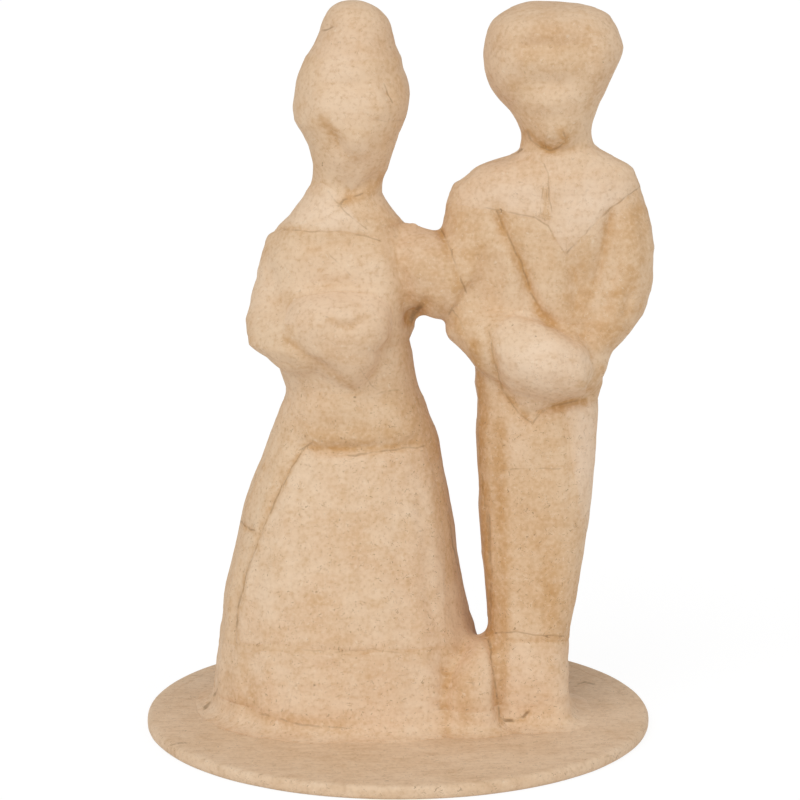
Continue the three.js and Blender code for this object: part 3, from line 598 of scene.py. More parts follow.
RIM_PROFILE = (0, 0.55, 0.88, 1)
TRIMMINGS = 4
HOLE_SIDES = 24
RIM_PASSES = 5
SHEET_DEPTH = 0.35
LUMP_DEPTH = 1.2
RIPPLE_SIZE = 4
RIPPLE = 0.08
STRIP_RISE = 0.12


def smooth_rim(bm):
    """Straightens the stepped edge of a patch of faces."""
    beside = {v: [e.other_vert(v) for e in v.link_edges if e.is_boundary] for v in bm.verts if v.is_boundary}
    for _ in range(RIM_PASSES):
        places = [(v, sum((o.co for o in near), len(near) * v.co) / (2 * len(near))) for v, near in beside.items()]
        for v, place in places:
            v.co = place


def rings_from_rim(bm):
    """The rim's points and those near it, numbered from the rim inwards."""
    ring = {v: 0 for v in bm.verts if v.is_boundary}
    front = list(ring)
    for number in range(1, len(RIM_PROFILE) - 1):
        following = []
        for v in front:
            for e in v.link_edges:
                other = e.other_vert(v)
                if other not in ring:
                    ring[other] = number
                    following.append(other)
        front = following
    return ring


def keep_largest(bm):
    """Deletes all but the largest connected piece."""
    left, best = set(bm.verts), []
    while left:
        seen = [left.pop()]
        for v in seen:
            for e in v.link_edges:
                other = e.other_vert(v)
                if other in left:
                    left.discard(other)
                    seen.append(other)
        best = max(best, seen, key=len)
    keep = set(best)
    bmesh.ops.delete(bm, geom=[v for v in bm.verts if v not in keep], context="VERTS")


def copy_of(skin, chosen):
    """A new mesh of some of the skin's faces."""
    bm = bmesh.new()
    source = skin.verts.layers.float["hollow"]
    hollow = bm.verts.layers.float.new("hollow")
    made = {}
    for number in np.flatnonzero(chosen):
        corners = skin.faces[number].verts
        for v in corners:
            if v not in made:
                made[v] = bm.verts.new(v.co)
                made[v][hollow] = v[source]
        bm.faces.new([made[v] for v in corners])
    return bm


def patch(name, skin, chosen, rise, rim_rise=0.04, depth=SHEET_DEPTH, ripple=0.0, worn=1):
    """A closed piece over some of the skin's faces."""
    bm = copy_of(skin, chosen)
    for _ in range(TRIMMINGS):
        loose = [f for f in bm.faces if sum(e.is_boundary for e in f.edges) > 2]
        bmesh.ops.delete(bm, geom=loose, context="FACES")
        pinched = [v for v in bm.verts if sum(e.is_boundary for e in v.link_edges) > 2]
        bmesh.ops.delete(bm, geom=pinched, context="VERTS")
    keep_largest(bm)
    bmesh.ops.holes_fill(bm, edges=[e for e in bm.edges if e.is_boundary], sides=HOLE_SIDES)
    bm.normal_update()
    edge = bm.verts.layers.float.new("edge")
    lift = bm.verts.layers.float.new("lift")
    out = bm.verts.layers.float_vector.new("out")
    ring = rings_from_rim(bm)
    ripples = ripple * rough(np.array([v.co for v in bm.verts]) / MM, RIPPLE_SIZE)
    for v, wave in zip(bm.verts, ripples):
        share = RIM_PROFILE[ring.get(v, len(RIM_PROFILE) - 1)]
        v[edge] = worn * (1 - share)
        v[out] = sum((e.other_vert(v).normal for e in v.link_edges), v.normal.copy()).normalized()
        v[lift] = rim_rise + share * (rise - rim_rise + wave)
    smooth_rim(bm)
    made = bmesh.ops.extrude_face_region(bm, geom=bm.faces[:], use_keep_orig=True)
    upper = {g for g in made["geom"] if isinstance(g, bmesh.types.BMVert)}
    for v in bm.verts:
        v.co += v[out] * (v[lift] if v in upper else -depth) * MM
    bmesh.ops.recalc_face_normals(bm, faces=bm.faces[:])
    bm.verts.layers.float_vector.remove(bm.verts.layers.float_vector["out"])
    bm.verts.layers.float.remove(bm.verts.layers.float["lift"])
    return finish_piece(name, bm)


# Sheets that the photograph shows: name, node, rise in millimetres, and outline in the photograph's pixels
SHEETS = (
    ("skirt_front_sheet", "bride_skirt_front_paper", 0.16, (
        (310, 447), (318, 456), (340, 457), (359, 456), (394, 453), (426, 446), (432, 466), (439, 495), (444, 540),
        (446, 600), (447, 646), (400, 650), (350, 649), (322, 649), (280, 643), (237, 644), (239, 610), (247, 574),
        (262, 534), (278, 497), (293, 467), (303, 452),
    )),
    ("hem_sheet", "bride_hem_strip", 0.1, (
        (205, 640), (240, 647), (262, 651), (300, 653), (350, 655), (400, 653), (440, 650), (439, 690), (440, 733),
        (400, 735), (349, 728), (328, 724), (293, 727), (276, 721), (259, 715), (240, 703), (205, 694),
    )),
    ("waist_sheet", "bride_waist_paper", 0.13, (
        (303, 436), (312, 445), (320, 453), (359, 453), (394, 448), (425, 441), (420, 415), (411, 392), (402, 366),
        (385, 376), (368, 392), (340, 396), (318, 390), (300, 396), (291, 412),
    )),
    ("bodice_sheet", "bride_bodice_paper", 0.13, (
        (240, 240), (262, 234), (283, 229), (320, 231), (345, 232), (372, 236), (392, 246), (402, 262), (404, 300),
        (402, 336), (385, 340), (360, 330), (320, 325), (290, 330), (262, 340), (235, 330),
    )),
    ("shoulder_sheet", "bride_shoulder_paper", 0.18, (
        (331, 188), (345, 203), (368, 235), (340, 231), (283, 227), (255, 230), (262, 214), (300, 190), (322, 182),
    )),
    ("shirt_sheet", "groom_shirt_paper", 0.2, (
        (455, 206), (480, 208), (500, 212), (535, 218), (549, 227), (558, 244), (566, 254), (584, 235), (609, 209),
        (640, 187), (650, 176), (615, 162), (592, 146), (560, 158), (530, 150), (505, 156), (480, 168), (460, 186),
    )),
    ("tie_sheet", "groom_tie", 0.45, (
        (541, 186), (551, 186), (549, 205), (553, 221), (540, 221), (544, 206),
    )),
    ("coat_front_sheet", "groom_coat_front_paper", 0.12, (
        (500, 215), (535, 225), (548, 232), (568, 257), (587, 239), (607, 211), (611, 209), (604, 240), (595, 280),
        (588, 300), (578, 326), (560, 322), (545, 312), (530, 284), (522, 263), (510, 236),
    )),
    ("inner_sleeve_sheet", "groom_inner_sleeve_paper", 0.15, (
        (439, 232), (452, 208), (478, 211), (495, 214), (505, 236), (517, 265), (524, 286), (524, 306), (500, 320),
        (476, 324), (462, 312), (444, 280),
    )),
    ("outer_sleeve_sheet", "groom_outer_sleeve_paper", 0.15, (
        (614, 207), (638, 190), (665, 200), (670, 300), (640, 345), (620, 330), (606, 304), (599, 282), (606, 240),
    )),
    ("hand_sheet", "groom_hand_paper", 0.22, (
        (500, 322), (525, 308), (540, 316), (553, 327), (570, 338), (588, 348), (592, 370), (585, 395), (560, 402),
        (535, 412), (517, 402), (504, 388), (497, 365), (491, 335),
    )),
    ("trouser_sheet", "groom_trouser_paper", 0.12, (
        (504, 421), (525, 418), (545, 421), (560, 415), (565, 440), (570, 500), (580, 540), (576, 600), (572, 638),
        (540, 641), (504, 640), (503, 560), (503, 480),
    )),
    ("hip_sheet", "groom_hip_paper", 0.18, (
        (565, 408), (580, 404), (610, 396), (610, 470), (600, 520), (587, 536), (577, 505), (570, 450),
    )),
    ("ankle_sheet", "groom_ankle_paper", 0.2, (
        (501, 642), (535, 644), (580, 640), (584, 680), (584, 718), (535, 718), (503, 714), (500, 680),
    )),
)

# Sheets on the back: name, node, rise, and outline as sideways place and height in millimetres
BACK_SHEETS = (
    ("skirt_back_sheet", "bride_skirt_back_paper", 0.18, (
        (-25, 69), (-12, 67), (2, 70.6), (7, 52), (10.3, 31.4), (6.9, 14.3), (-12, 15), (-32, 13.5), (-33.4, 36.3),
        (-29, 55),
    )),
    ("coat_back_sheet", "groom_coat_back_paper", 0.18, (
        (23, 135.8), (36.2, 138.3), (49.4, 134.6), (48.5, 107.3), (45, 86.2), (27.4, 84.4), (23, 110.4),
    )),
)

# Strips over the side seams: figure's middle, side, parting, how far they reach before and behind it, heights
STRIPS = (
    ("outer_skirt_seam", "bride_outer_seam_strip", BRIDE_X, -1, BRIDE_PARTING, 5, 5, 28, 82),
    ("inner_skirt_seam", "bride_inner_seam_strip", BRIDE_X, 1, BRIDE_PARTING, 5, 5, 28, 82),
    ("inner_leg_seam", "groom_inner_seam_strip", GROOM_X, -1, GROOM_PARTING, 7, 7, 27.4, 78),
    ("outer_leg_seam", "groom_outer_seam_strip", GROOM_X, 1, GROOM_PARTING, 1, 9, 27.4, 78),
)

LUMP_PIECES = (
    ("bun", "bride_bun"),
    ("bouquet", "bride_bouquet"),
    ("linking_arm", "bride_linking_arm"),
    ("hair", "groom_hair_cap"),
    ("leg_bridge", "skirt_leg_bridge"),
)
LUMP_RISE = 0.05
LUMP_REACH = 1.6
LUMP_TEAR = 0.7
TEAR_PIXELS = 2.2
TEAR = 0.5
PARTING_TEAR = 0.6
SEAM_SIDE = 4


class Faces:
    """The skin's faces as arrays: where they are, which way they look and where they are seen."""

    def __init__(self, skin):
        mesh = bpy.data.meshes.new("faces")
        skin.to_mesh(mesh)
        self.middle = face_values(mesh, "center") / MM
        bpy.data.meshes.remove(mesh)
        self.bride = is_bride(self.middle)
        self.standing = self.middle[:, 2] > BOARD_TOP + 2 * STANDING_GAP
        wobble = [rough(self.middle, 4, seed) + 0.5 * rough(self.middle, 1.3, seed) for seed in (2.2, 6.6)]
        self.tear = np.stack(wobble, axis=1)
        self.seen = photo_xy(self.middle) + TEAR_PIXELS * self.tear
        self.upright = self.middle[:, [0, 2]] + TEAR * self.tear

    def of_figure(self, node):
        """The faces of the figure that a node belongs to."""
        own = self.bride if node.startswith("bride") else ~self.bride
        return own & self.standing


def parting_of(node):
    return BRIDE_PARTING if node.startswith("bride") else GROOM_PARTING


def lump_faces(faces, node):
    """The faces that lie nearer to a pulp node than to the moulded forms."""
    low, high = np.array(lowest(node)) - LUMP_REACH, np.array(highest(node)) + LUMP_REACH
    near = np.flatnonzero(((faces.middle > low) & (faces.middle < high)).all(axis=1) & faces.standing)
    own = tree_of(node)
    others = [tree_of(other) for other in FORM_NODES if "shell" in other]
    chosen = np.zeros(len(faces.middle), dtype=bool)
    for number in near:
        place = Vector(faces.middle[number] + LUMP_TEAR * faces.tear[number].mean()) * MM
        away = own.find_nearest(place)[3]
        chosen[number] = away < LUMP_REACH * MM and away < min(tree.find_nearest(place)[3] for tree in others)
    return chosen


def tree_of(node):
    mesh = NODES[node].data
    return BVHTree.FromPolygons([v.co for v in mesh.vertices], [p.vertices[:] for p in mesh.polygons])


def add(piece, node, slot):
    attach(piece, "root")
    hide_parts(node)
    piece.data.materials.append(finish(slot))


PALE_SHEETS = (
    "bride_skirt_front_paper",
    "bride_hem_strip",
    "bride_skirt_back_paper",
    "bride_shoulder_paper",
    "groom_shirt_paper",
    "groom_hand_paper",
    "groom_hip_paper",
    "groom_ankle_paper",
)


def slot_of(node):
    return "pale_paper" if node in PALE_SHEETS else "kraft_paper"


def make_figures(skin):
    for who, figure in zip(("bride", "groom"), figures(skin)):
        for side, outward in (("front", 1), ("back", -1)):
            half = half_of(f"{who}_{side}", figure, parting_of(who), outward)
            add(half, f"{who}_{side}_shell", "kraft_paper")
        figure.free()


def make_sheets(skin):
    faces = Faces(skin)
    lumps = {node: lump_faces(faces, node) for _, node in LUMP_PIECES}
    held = lumps["bride_bouquet"] | lumps["bride_linking_arm"]
    for name, node, rise, outline in SHEETS:
        chosen = faces.of_figure(node) & inside(faces.seen, list(outline)) & ~lumps["skirt_leg_bridge"]
        chosen &= faces.middle[:, 1] < parting_of(node) + PARTING_TEAR * faces.tear[:, 0]
        if "bodice" in name or "shoulder" in name:
            chosen &= ~held
        if "waist" in name:
            chosen &= ~lumps["bride_bouquet"]
        add(patch(name, skin, chosen, rise, ripple=RIPPLE), node, slot_of(node))
    for name, node, rise, outline in BACK_SHEETS:
        chosen = faces.of_figure(node) & inside(faces.upright, list(outline))
        chosen &= faces.middle[:, 1] > parting_of(node)
        add(patch(name, skin, chosen, rise, ripple=RIPPLE), node, slot_of(node))
    for name, node, x, side, parting, before, behind, low, high in STRIPS:
        back = faces.middle[:, 1] - parting + TEAR * faces.tear[:, 0]
        height = faces.middle[:, 2] + TEAR * faces.tear[:, 1]
        chosen = faces.of_figure(node) & (back > -before) & (back < behind) & (height > low) & (height < high)
        chosen &= (faces.middle[:, 0] - x) * side > SEAM_SIDE
        add(patch(name, skin, chosen, STRIP_RISE, ripple=RIPPLE / 2), node, slot_of(node))
    for name, node in LUMP_PIECES:
        add(patch(name, skin, lumps[node], LUMP_RISE, 0.01, LUMP_DEPTH, worn=0), node, "paper_pulp")


# Foot collars: paper that runs down the figure and out on to the board.
# Height above the board and reach from the figure, as the strip is laid on.
COLLAR_PROFILE = (
    (5.2, 0.14),
    (4.2, 0.28),
    (3.2, 0.4),
    (2.4, 0.58),
    (1.7, 0.9),
    (1.15, 1.4),
    (0.75, 2.0),
    (0.45, 2.8),
    (0.27, 3.7),
    (0.16, 4.5),
    (0.09, 5.2),
)
COLLAR_THICKNESS = 0.12
ALL_AXES = {"use_axis_x": True, "use_axis_y": True, "use_axis_z": True}


def foot_loop(skin):
    """The edges on which the skin stands."""
    return [e for e in skin.edges if not e.smooth and e.verts[0].co.z < (BOARD_TOP + 1) * MM]


def collars(skin):
    """Both collars as one strip of faces round the foot of the skin, then split between the figures."""
    tree = BVHTree.FromBMesh(skin)
    loop = foot_loop(skin)
    skin.verts.index_update()
    ways = {}
    for v in {v for edge in loop for v in edge.verts}:
        wobble = rough(np.array([v.co]) / MM, 9, 2.5)[0] + 0.3 * rough(np.array([v.co]) / MM, 3, 4.5)[0]
        ways[v.index] = 1 + 0.25 * wobble
    count = len(COLLAR_PROFILE)
    for name, node, wanted in (
        ("skirt_collar", "bride_foot_collar", True),
        ("foot_collar", "groom_foot_collar", False),
    ):
        bm = bmesh.new()
        rows = {}
        for edge in loop:
            for v in edge.verts:
                if v.index not in rows:
                    rows[v.index] = collar_row(bm, tree, v.co, ways[v.index])
        for edge in loop:
            a, b = (rows[v.index] for v in edge.verts)
            spot = np.array([(edge.verts[0].co + edge.verts[1].co) / 2]) / MM
            if bool(is_bride(spot)[0]) == wanted:
                for k in range(count - 1):
                    bm.faces.new((a[k], a[k + 1], b[k + 1], b[k]))
        bmesh.ops.delete(bm, geom=[v for v in bm.verts if not v.link_faces], context="VERTS")
        bmesh.ops.recalc_face_normals(bm, faces=bm.faces[:])
        if sum(f.normal.z for f in bm.faces) < 0:
            bmesh.ops.reverse_faces(bm, faces=bm.faces[:])
        bmesh.ops.smooth_vert(bm, verts=[v for v in bm.verts if not v.is_boundary], factor=0.4, **ALL_AXES)
        bm.normal_update()
        outward = {v: v.normal.copy() for v in bm.verts}
        bmesh.ops.extrude_face_region(bm, geom=bm.faces[:], use_keep_orig=True)
        for v, way in outward.items():
            v.co -= way * COLLAR_THICKNESS * MM
        bmesh.ops.recalc_face_normals(bm, faces=bm.faces[:])
        add(finish_piece(name, bm), node, "pale_paper")


def collar_row(bm, tree, foot, width):
    """A row of points from the figure down and out, over one point of its foot."""
    row = []
    for rise, reach in COLLAR_PROFILE:
        spot = Vector((foot.x, foot.y, (BOARD_TOP + rise) * MM))
        place, normal = tree.find_nearest(spot)[:2]
        out = Vector((normal.x, normal.y, 0)).normalized()
        spot = place + out * reach * width * MM
        spot.z = (BOARD_TOP + rise * (0.4 + 0.6 * width)) * MM
        row.append(bm.verts.new(spot))
    return row


# Board

BOARD_RINGS = 56
BOARD_STEPS = 180
SHEET = 0.4
RIM_OVERLAP = 2.6


def spun(profile, closed):
    """A full turn of a profile, given as radius and height."""
    bm = bmesh.new()
    verts = [bm.verts.new((r * MM, 0, z * MM)) for r, z in profile]
    edges = [bm.edges.new(pair) for pair in zip(verts, verts[1:] + verts[:1] if closed else verts[1:])]
    turn = {"cent": (0, 0, 0), "axis": (0, 0, 1), "angle": 2 * math.pi, "steps": BOARD_STEPS, "use_merge": True}
    bmesh.ops.spin(bm, geom=verts + edges, **turn)
    bmesh.ops.remove_doubles(bm, verts=bm.verts[:], dist=MERGING)
    bmesh.ops.recalc_face_normals(bm, faces=bm.faces[:])
    return bm


def brush_strokes(points, seed):
    """Shallow ridges that a brush of paste leaves round the board."""
    radius = np.hypot(points[:, 0], points[:, 1])
    turn = np.arctan2(points[:, 1], points[:, 0])
    strokes = np.stack([radius / 1.1, 9 * np.cos(turn), 9 * np.sin(turn)], axis=1)
    broad = np.stack([radius / 3.2, 5 * np.cos(turn), 5 * np.sin(turn)], axis=1)
    fade = step(COVER_RADIUS - 1, COVER_RADIUS - 5, radius)
    ridges = 0.05 * rough(strokes, 1, seed) + 0.09 * rough(broad, 1, seed + 3) + 0.16 * rough(points, 15, seed)
    return fade * ridges


def board_mesh(name, bm, relief_of):
    """A spun form with twice as many faces, each point moved by what its relief gives."""
    shade_smooth(bm)
    mesh = finished_mesh(mesh_from(name, bm), "SUBSURF", subdivision_type="SIMPLE", levels=1, render_levels=1)
    points = points_of(mesh)
    set_points(mesh, points + relief_of(points))
    return mesh


def board_pieces():
    radii = [COVER_RADIUS * k / BOARD_RINGS for k in range(BOARD_RINGS + 1)]
    few = [COVER_RADIUS * share for share in (1, 0.8, 0.5, 0)]
    top = [(r, BOARD_TOP) for r in radii] + [(r, BOARD_TOP - SHEET) for r in few]
    under = [(r, 0) for r in radii[::3] + [COVER_RADIUS]] + [(r, SHEET) for r in few]
    rim = [
        (COVER_RADIUS - RIM_OVERLAP, BOARD_TOP - 0.1),
        (COVER_RADIUS - RIM_OVERLAP, BOARD_TOP + 0.03),
        (COVER_RADIUS - RIM_OVERLAP / 2, BOARD_TOP + 0.07),
        (COVER_RADIUS, BOARD_TOP + 0.06),
        (BASE_RADIUS - 0.75, BOARD_TOP - 0.1),
        (BASE_RADIUS - 0.3, BOARD_TOP - 0.5),
        (BASE_RADIUS - 0.05, BOARD_TOP - 1.1),
        (BASE_RADIUS, BOARD_TOP / 2),
        (BASE_RADIUS - 0.05, 1.1),
        (BASE_RADIUS - 0.3, 0.5),
        (BASE_RADIUS - 0.8, 0.1),
        (COVER_RADIUS + 0.1, 0.02),
        (COVER_RADIUS - 0.2, 0.3),
        (COVER_RADIUS - 0.1, BOARD_TOP - 0.5),
    ]

    def top_relief(points):
        lift = brush_strokes(points, 4.4) * step(BOARD_TOP - 0.2, BOARD_TOP, points[:, 2])
        return np.stack([0 * lift, 0 * lift, np.maximum(lift, 0.06 - SHEET)], axis=1)

    def under_relief(points):
        lift = np.maximum(brush_strokes(points, 8.1), 0) * step(SHEET / 2, 0, points[:, 2])
        return np.stack([0 * lift, 0 * lift, lift], axis=1)

    def rim_relief(points):
        radius = np.linalg.norm(points[:, :2], axis=1)
        out = points / radius[:, None]
        tear = rough(points, 5, 1.2) + 0.6 * rough(points, 1.6, 2.7)
        inner = step(COVER_RADIUS - RIM_OVERLAP / 3, COVER_RADIUS - RIM_OVERLAP, radius)
        spread = 0.8 * tear * inner + 0.12 * rough(points, 9, 5.5) * (1 - inner)
        return np.stack([out[:, 0] * spread, out[:, 1] * spread, 0 * spread], axis=1)

    for name, node, profile, closed, relief_of in (
        ("board_top_sheet", "base_top_paper", top, False, top_relief),
        ("board_under_sheet", "base_under_paper", under, False, under_relief),
        ("board_rim", "base_rim_strip", rim, True, rim_relief),
    ):
        mesh = board_mesh(name, spun(profile, closed), relief_of)
        paint(mesh)
        add(new_object(name, mesh), node, "base_paper")


# Glue stains and painted shade: strength, width in pixels, then the photograph's pixels that they follow. Those
# that run along the creases and folds are painted shade there as well as glue.
STAINS_AND_SHADE = (
    (0.9, 6, ((340, 204), (351, 198), (360, 197), (372, 190), (381, 175))),
    (0.2, 10, ((372, 168), (376, 180), (368, 196))),
    (0.2, 8, ((340, 152), (346, 160), (352, 168))),
    # painted shadow along the bride's jaw, on the left
    (0.65, 5, ((322, 117), (330, 127), (335, 135))),
    (0.3, 8, ((336, 140), (345, 150), (360, 161))),
    (0.12, 7, ((326, 88), (345, 80), (372, 84))),
    (0.35, 20, ((522, 44), (548, 30), (580, 36), (602, 60), (606, 90))),
    (0.12, 9, ((530, 70), (548, 66), (570, 70), (592, 60))),
    (0.35, 9, ((512, 84), (520, 88))),
    (1.0, 5, ((528, 132), (536, 140), (546, 147), (553, 149))),
    (1.0, 4.5, ((556, 147), (564, 143), (566, 137), (561, 131))),
    (0.4, 11, ((530, 137), (548, 148), (566, 138))),
    # painted shade under the linking arm
    (1.0, 9, ((409, 322), (415, 312), (424, 303))),
    (0.6, 12, ((404, 300), (412, 300), (425, 297), (440, 305))),
    (0.5, 20, ((415, 268), (440, 272), (455, 290))),
    (0.4, 7, ((440, 232), (448, 252), (457, 275), (462, 292))),
    (0.45, 14, ((452, 215), (470, 225), (476, 250))),
    (0.7, 6, ((496, 212), (507, 236), (520, 264), (528, 286), (540, 312), (552, 324))),
    (0.45, 10, ((505, 225), (520, 260), (530, 285))),
    (0.6, 7, ((586, 300), (596, 280), (604, 245), (612, 212))),
    (0.5, 8, ((575, 290), (580, 310), (590, 330), (597, 345))),
    (0.5, 7, ((628, 290), (624, 308), (620, 330))),
    (0.65, 17, ((636, 212), (634, 260), (622, 305), (606, 335))),
    (0.85, 5, ((556, 408), (570, 403), (584, 401))),
    (0.6, 7, ((585, 385), (596, 395), (600, 370))),
    (0.5, 5, ((489, 332), (495, 366), (503, 391), (520, 410), (533, 423))),
    (0.55, 8, ((306, 447), (330, 448), (355, 441), (380, 447), (405, 442), (424, 437))),
    (0.5, 18, ((330, 438), (356, 434), (400, 436))),
    (0.5, 7, ((340, 445), (353, 446), (359, 436), (364, 427))),
    (0.2, 70, ((345, 500), (345, 560), (345, 640))),
    (0.55, 22, ((400, 395), (415, 425), (424, 440))),
    (0.4, 9, ((428, 452), (436, 490), (444, 540), (450, 575))),
    (0.65, 13, ((458, 682), (462, 700), (466, 726))),
    (0.5, 3.5, SKIRT_EDGE),
    (0.4, 3, SKIRT_TEAR),
    (0.95, 8, ((474, 345), (480, 380), (482, 450), (484, 520), (488, 590), (491, 636))),
    (0.8, 8, ((500, 425), (501, 500), (503, 600), (502, 700))),
    (0.32, 34, ((540, 440), (545, 520), (545, 620), (540, 700))),
    (0.62, 14, ((548, 560), (552, 600), (560, 634))),
    (0.5, 5, ((505, 641), (535, 643), (570, 640))),
    (0.65, 8, ((445, 676), (448, 700), (447, 732))),
    (0.35, 9, ((455, 716), (480, 728), (500, 732))),
    (0.5, 8, ((238, 650), (246, 672), (252, 690), (254, 712))),
    # painted shadow at the foot of the skirt, on the left, where it meets the board
    (0.5, 4, ((216, 693), (212, 701), (205, 708))),
    (0.8, 5, ((486, 634), (493, 650), (497, 672), (498, 700), (500, 724))),
    (0.45, 9, ((236, 702), (259, 714), (276, 720), (293, 726), (328, 723), (349, 727))),
    (0.22, 5, ((248, 648), (300, 652), (350, 653), (400, 655), (438, 652))),
    (0.8, 4, ((512, 722), (522, 719), (531, 712))),
    (0.45, 8, ((485, 730), (500, 734), (515, 728))),
    (0.45, 5, ((287, 340), (302, 350), (323, 366), (340, 379), (352, 387))),
    (0.5, 5, ((328, 320), (340, 324), (352, 323), (365, 318))),
    (0.35, 12, ((398, 262), (404, 300), (408, 340), (412, 372))),
    (0.4, 5, ((272, 300), (285, 296), (292, 300))),
    (0.35, 5, ((283, 229), (320, 232), (345, 233), (372, 237))),
    (0.35, 8, ((300, 425), (318, 440))),
    (0.6, 8, ((450, 311), (458, 325), (465, 338), (471, 350))),
    (0.5, 3.5, ((567, 272), (571, 272), (572, 279), (568, 281), (566, 276))),
    (0.4, 4, ((546, 188), (546, 202), (546, 214))),
    (0.5, 14, ((570, 265), (578, 300), (580, 322))),
    (0.6, 10, ((585, 255), (587, 272), (584, 292))),
    (0.35, 16, ((228, 660), (230, 690))),
    (0.9, 2.5, ((505, 719), (517, 720), (524, 717), (528, 713))),
    (0.3, 12, ((362, 208), (375, 215), (382, 222))),
    (0.3, 6, ((523, 31), (545, 29), (563, 32))),
    (0.6, 5, ((588, 28), (595, 33), (600, 34))),
)

# Paler places: strength, centre, half width and half height in pixels
PALES = (
    (0.62, 545, 365, 38, 34),
    (0.7, 517, 440, 15, 26),
    (0.95, 586, 455, 11, 55),
    (0.85, 596, 205, 36, 28),
    (0.6, 520, 196, 44, 18),
    (0.5, 330, 215, 34, 18),
    (0.5, 345, 50, 30, 30),
    (0.9, 350, 100, 36, 30),
    (0.8, 352, 160, 24, 24),
    (0.75, 340, 285, 60, 42),
    (0.4, 560, 95, 26, 26),
    (0.55, 535, 680, 36, 36),
    (0.4, 300, 400, 30, 30),
    (0.35, 300, 265, 30, 26),
    # painted light: paler on the skirt's right side, which turns away from the lamps
    (0.7, 458, 612, 14, 34),
    (0.4, 300, 300, 40, 40),
    (1.1, 340, 72, 26, 20),
    (0.6, 312, 98, 16, 24),
    (0.7, 262, 288, 22, 34),
    (0.6, 566, 232, 13, 20),
)


# Fine cracks and wrinkles, and a wide line of painted shadow under the linking arm: strength, half width in pixels,
# then the photograph's pixels that they follow
CRACKS_AND_SHADE_LINE = (
    (0.55, 1.1, BROW_TEAR),
    (0.2, 0.9, ((367, 113), (374, 120), (388, 122), (404, 120))),
    # painted shadow: a wide soft dark line under the linking arm
    (0.7, 3.2, ((410, 321), (415, 312), (422, 304))),
    (0.35, 0.9, ((503, 470), (530, 468), (560, 469))),
    (0.6, 1.1, ((318, 33), (324, 30), (333, 27))),
    (0.6, 1.2, ((339, 206), (343, 200), (351, 198), (362, 193))),
    (0.45, 0.9, ((547, 135), (545, 141), (546, 147))),
    (0.8, 1.0, ((511, 157), (517, 153), (522, 149))),
    (0.4, 0.9, ((545, 165), (549, 176), (548, 186), (550, 200), (552, 214))),
    (0.3, 0.9, ((543, 187), (541, 203), (539, 214), (552, 217))),
    (0.5, 1.1, ((449, 314), (452, 309), (458, 316), (463, 328))),
    (0.5, 1.0, ((325, 316), (331, 320), (342, 323))),
    (0.25, 0.9, ((330, 255), (340, 264), (350, 274))),
    (1.0, 1.6, ((472.5, 679), (474.5, 685))),
    (0.9, 1.2, ((217, 690), (214, 696))),
    (0.7, 1.3, ((210, 702), (204, 709))),
    (0.5, 1.0, ((171, 745), (178, 743), (186, 743))),
    (0.35, 0.9, ((190, 676), (198, 675), (206, 674))),
    (0.5, 1.5, ((489, 506), (491, 560), (491, 629))),
    (0.45, 1.1, ((527, 131), (531, 140), (540, 147), (549, 150), (560, 147), (566, 140), (563, 132))),
    (0.7, 0.9, ((605, 757), (611, 755))),
    (0.7, 0.9, ((616, 757), (620, 752))),
    (0.35, 1.0, ((328, 192), (343, 209), (366, 229))),
    (0.45, 1.0, ((283, 229), (310, 232), (335, 231), (360, 235), (380, 241))),
    (0.55, 1.1, ((437, 222), (447, 240), (457, 268), (466, 292))),
    (0.5, 1.2, ((496, 210), (507, 234), (522, 265), (530, 290), (543, 314))),
    (0.45, 1.0, ((640, 186), (609, 209), (584, 235), (566, 254))),
    (0.35, 1.0, ((486, 208), (500, 210), (535, 218), (549, 227), (558, 244), (566, 254))),
    (0.35, 1.1, ((489, 332), (495, 362), (503, 391), (518, 412), (532, 423))),
    (0.45, 1.2, ((532, 424), (540, 414), (552, 405), (568, 403), (584, 399))),
    (0.5, 1.1, ((301, 449), (308, 446), (312, 443))),
    (0.5, 1.1, ((348, 456), (366, 454), (384, 450), (400, 449), (424, 446))),
    (0.5, 1.0, SKIRT_EDGE),
    (0.6, 1.0, ((240, 521), (250, 530), (256, 531), (262, 537))),
    (0.5, 1.1, ((448, 511), (453, 546), (462, 576), (473, 611), (480, 630))),
    (0.2, 1.0, ((300, 650), (340, 652), (372, 649), (399, 653))),
    (0.5, 1.2, ((490, 640), (491, 660), (496, 684), (499, 715), (501, 735))),
    (0.7, 1.3, ((484, 630), (488, 640), (491, 648))),
    (0.45, 1.0, ((494, 633), (515, 631), (540, 636), (563, 636))),
    (0.95, 2.0, ((503, 719), (515, 721), (523, 718), (528, 712))),
    (0.4, 1.2, ((262, 714), (290, 722), (310, 726), (349, 728))),
    (0.6, 1.0, ((578, 684), (586, 682), (594, 684))),
    (0.35, 0.9, ((478, 430), (481, 470), (487, 520), (489, 560), (492, 600))),
    (0.3, 0.9, ((360, 370), (372, 386), (390, 398))),
    (0.35, 0.9, ((376, 394), (390, 391), (398, 390))),
)


def dark_line_distance(seen, strength, width, line):
    """Distance from a dark line, crack and painted shadow line alike, with a sign for its side, in its half widths,
    and how strong it is there.
    """
    nearest = np.full(len(seen), float(DARK_LINE_REACH))
    share = np.zeros(len(seen))
    for number, (start, end) in enumerate(zip(line[:-1], line[1:])):
        begin, way = np.array(start, float), np.subtract(end, start).astype(float)
        along = (seen - begin) @ way / (way @ way)
        offset = seen - begin - np.clip(along, 0, 1)[:, None] * way
        away = np.hypot(offset[:, 0], offset[:, 1])
        side = np.where(way[0] * offset[:, 1] > way[1] * offset[:, 0], 1, -1)
        past = np.maximum(-along if number == 0 else 0, along - 1 if number == len(line) - 2 else 0)
        closer = away / width < np.abs(nearest)
        nearest = np.where(closer, side * away / width, nearest)
        share = np.where(closer, strength * step(2.5, 0, past * np.linalg.norm(way)), share)
    return nearest, share


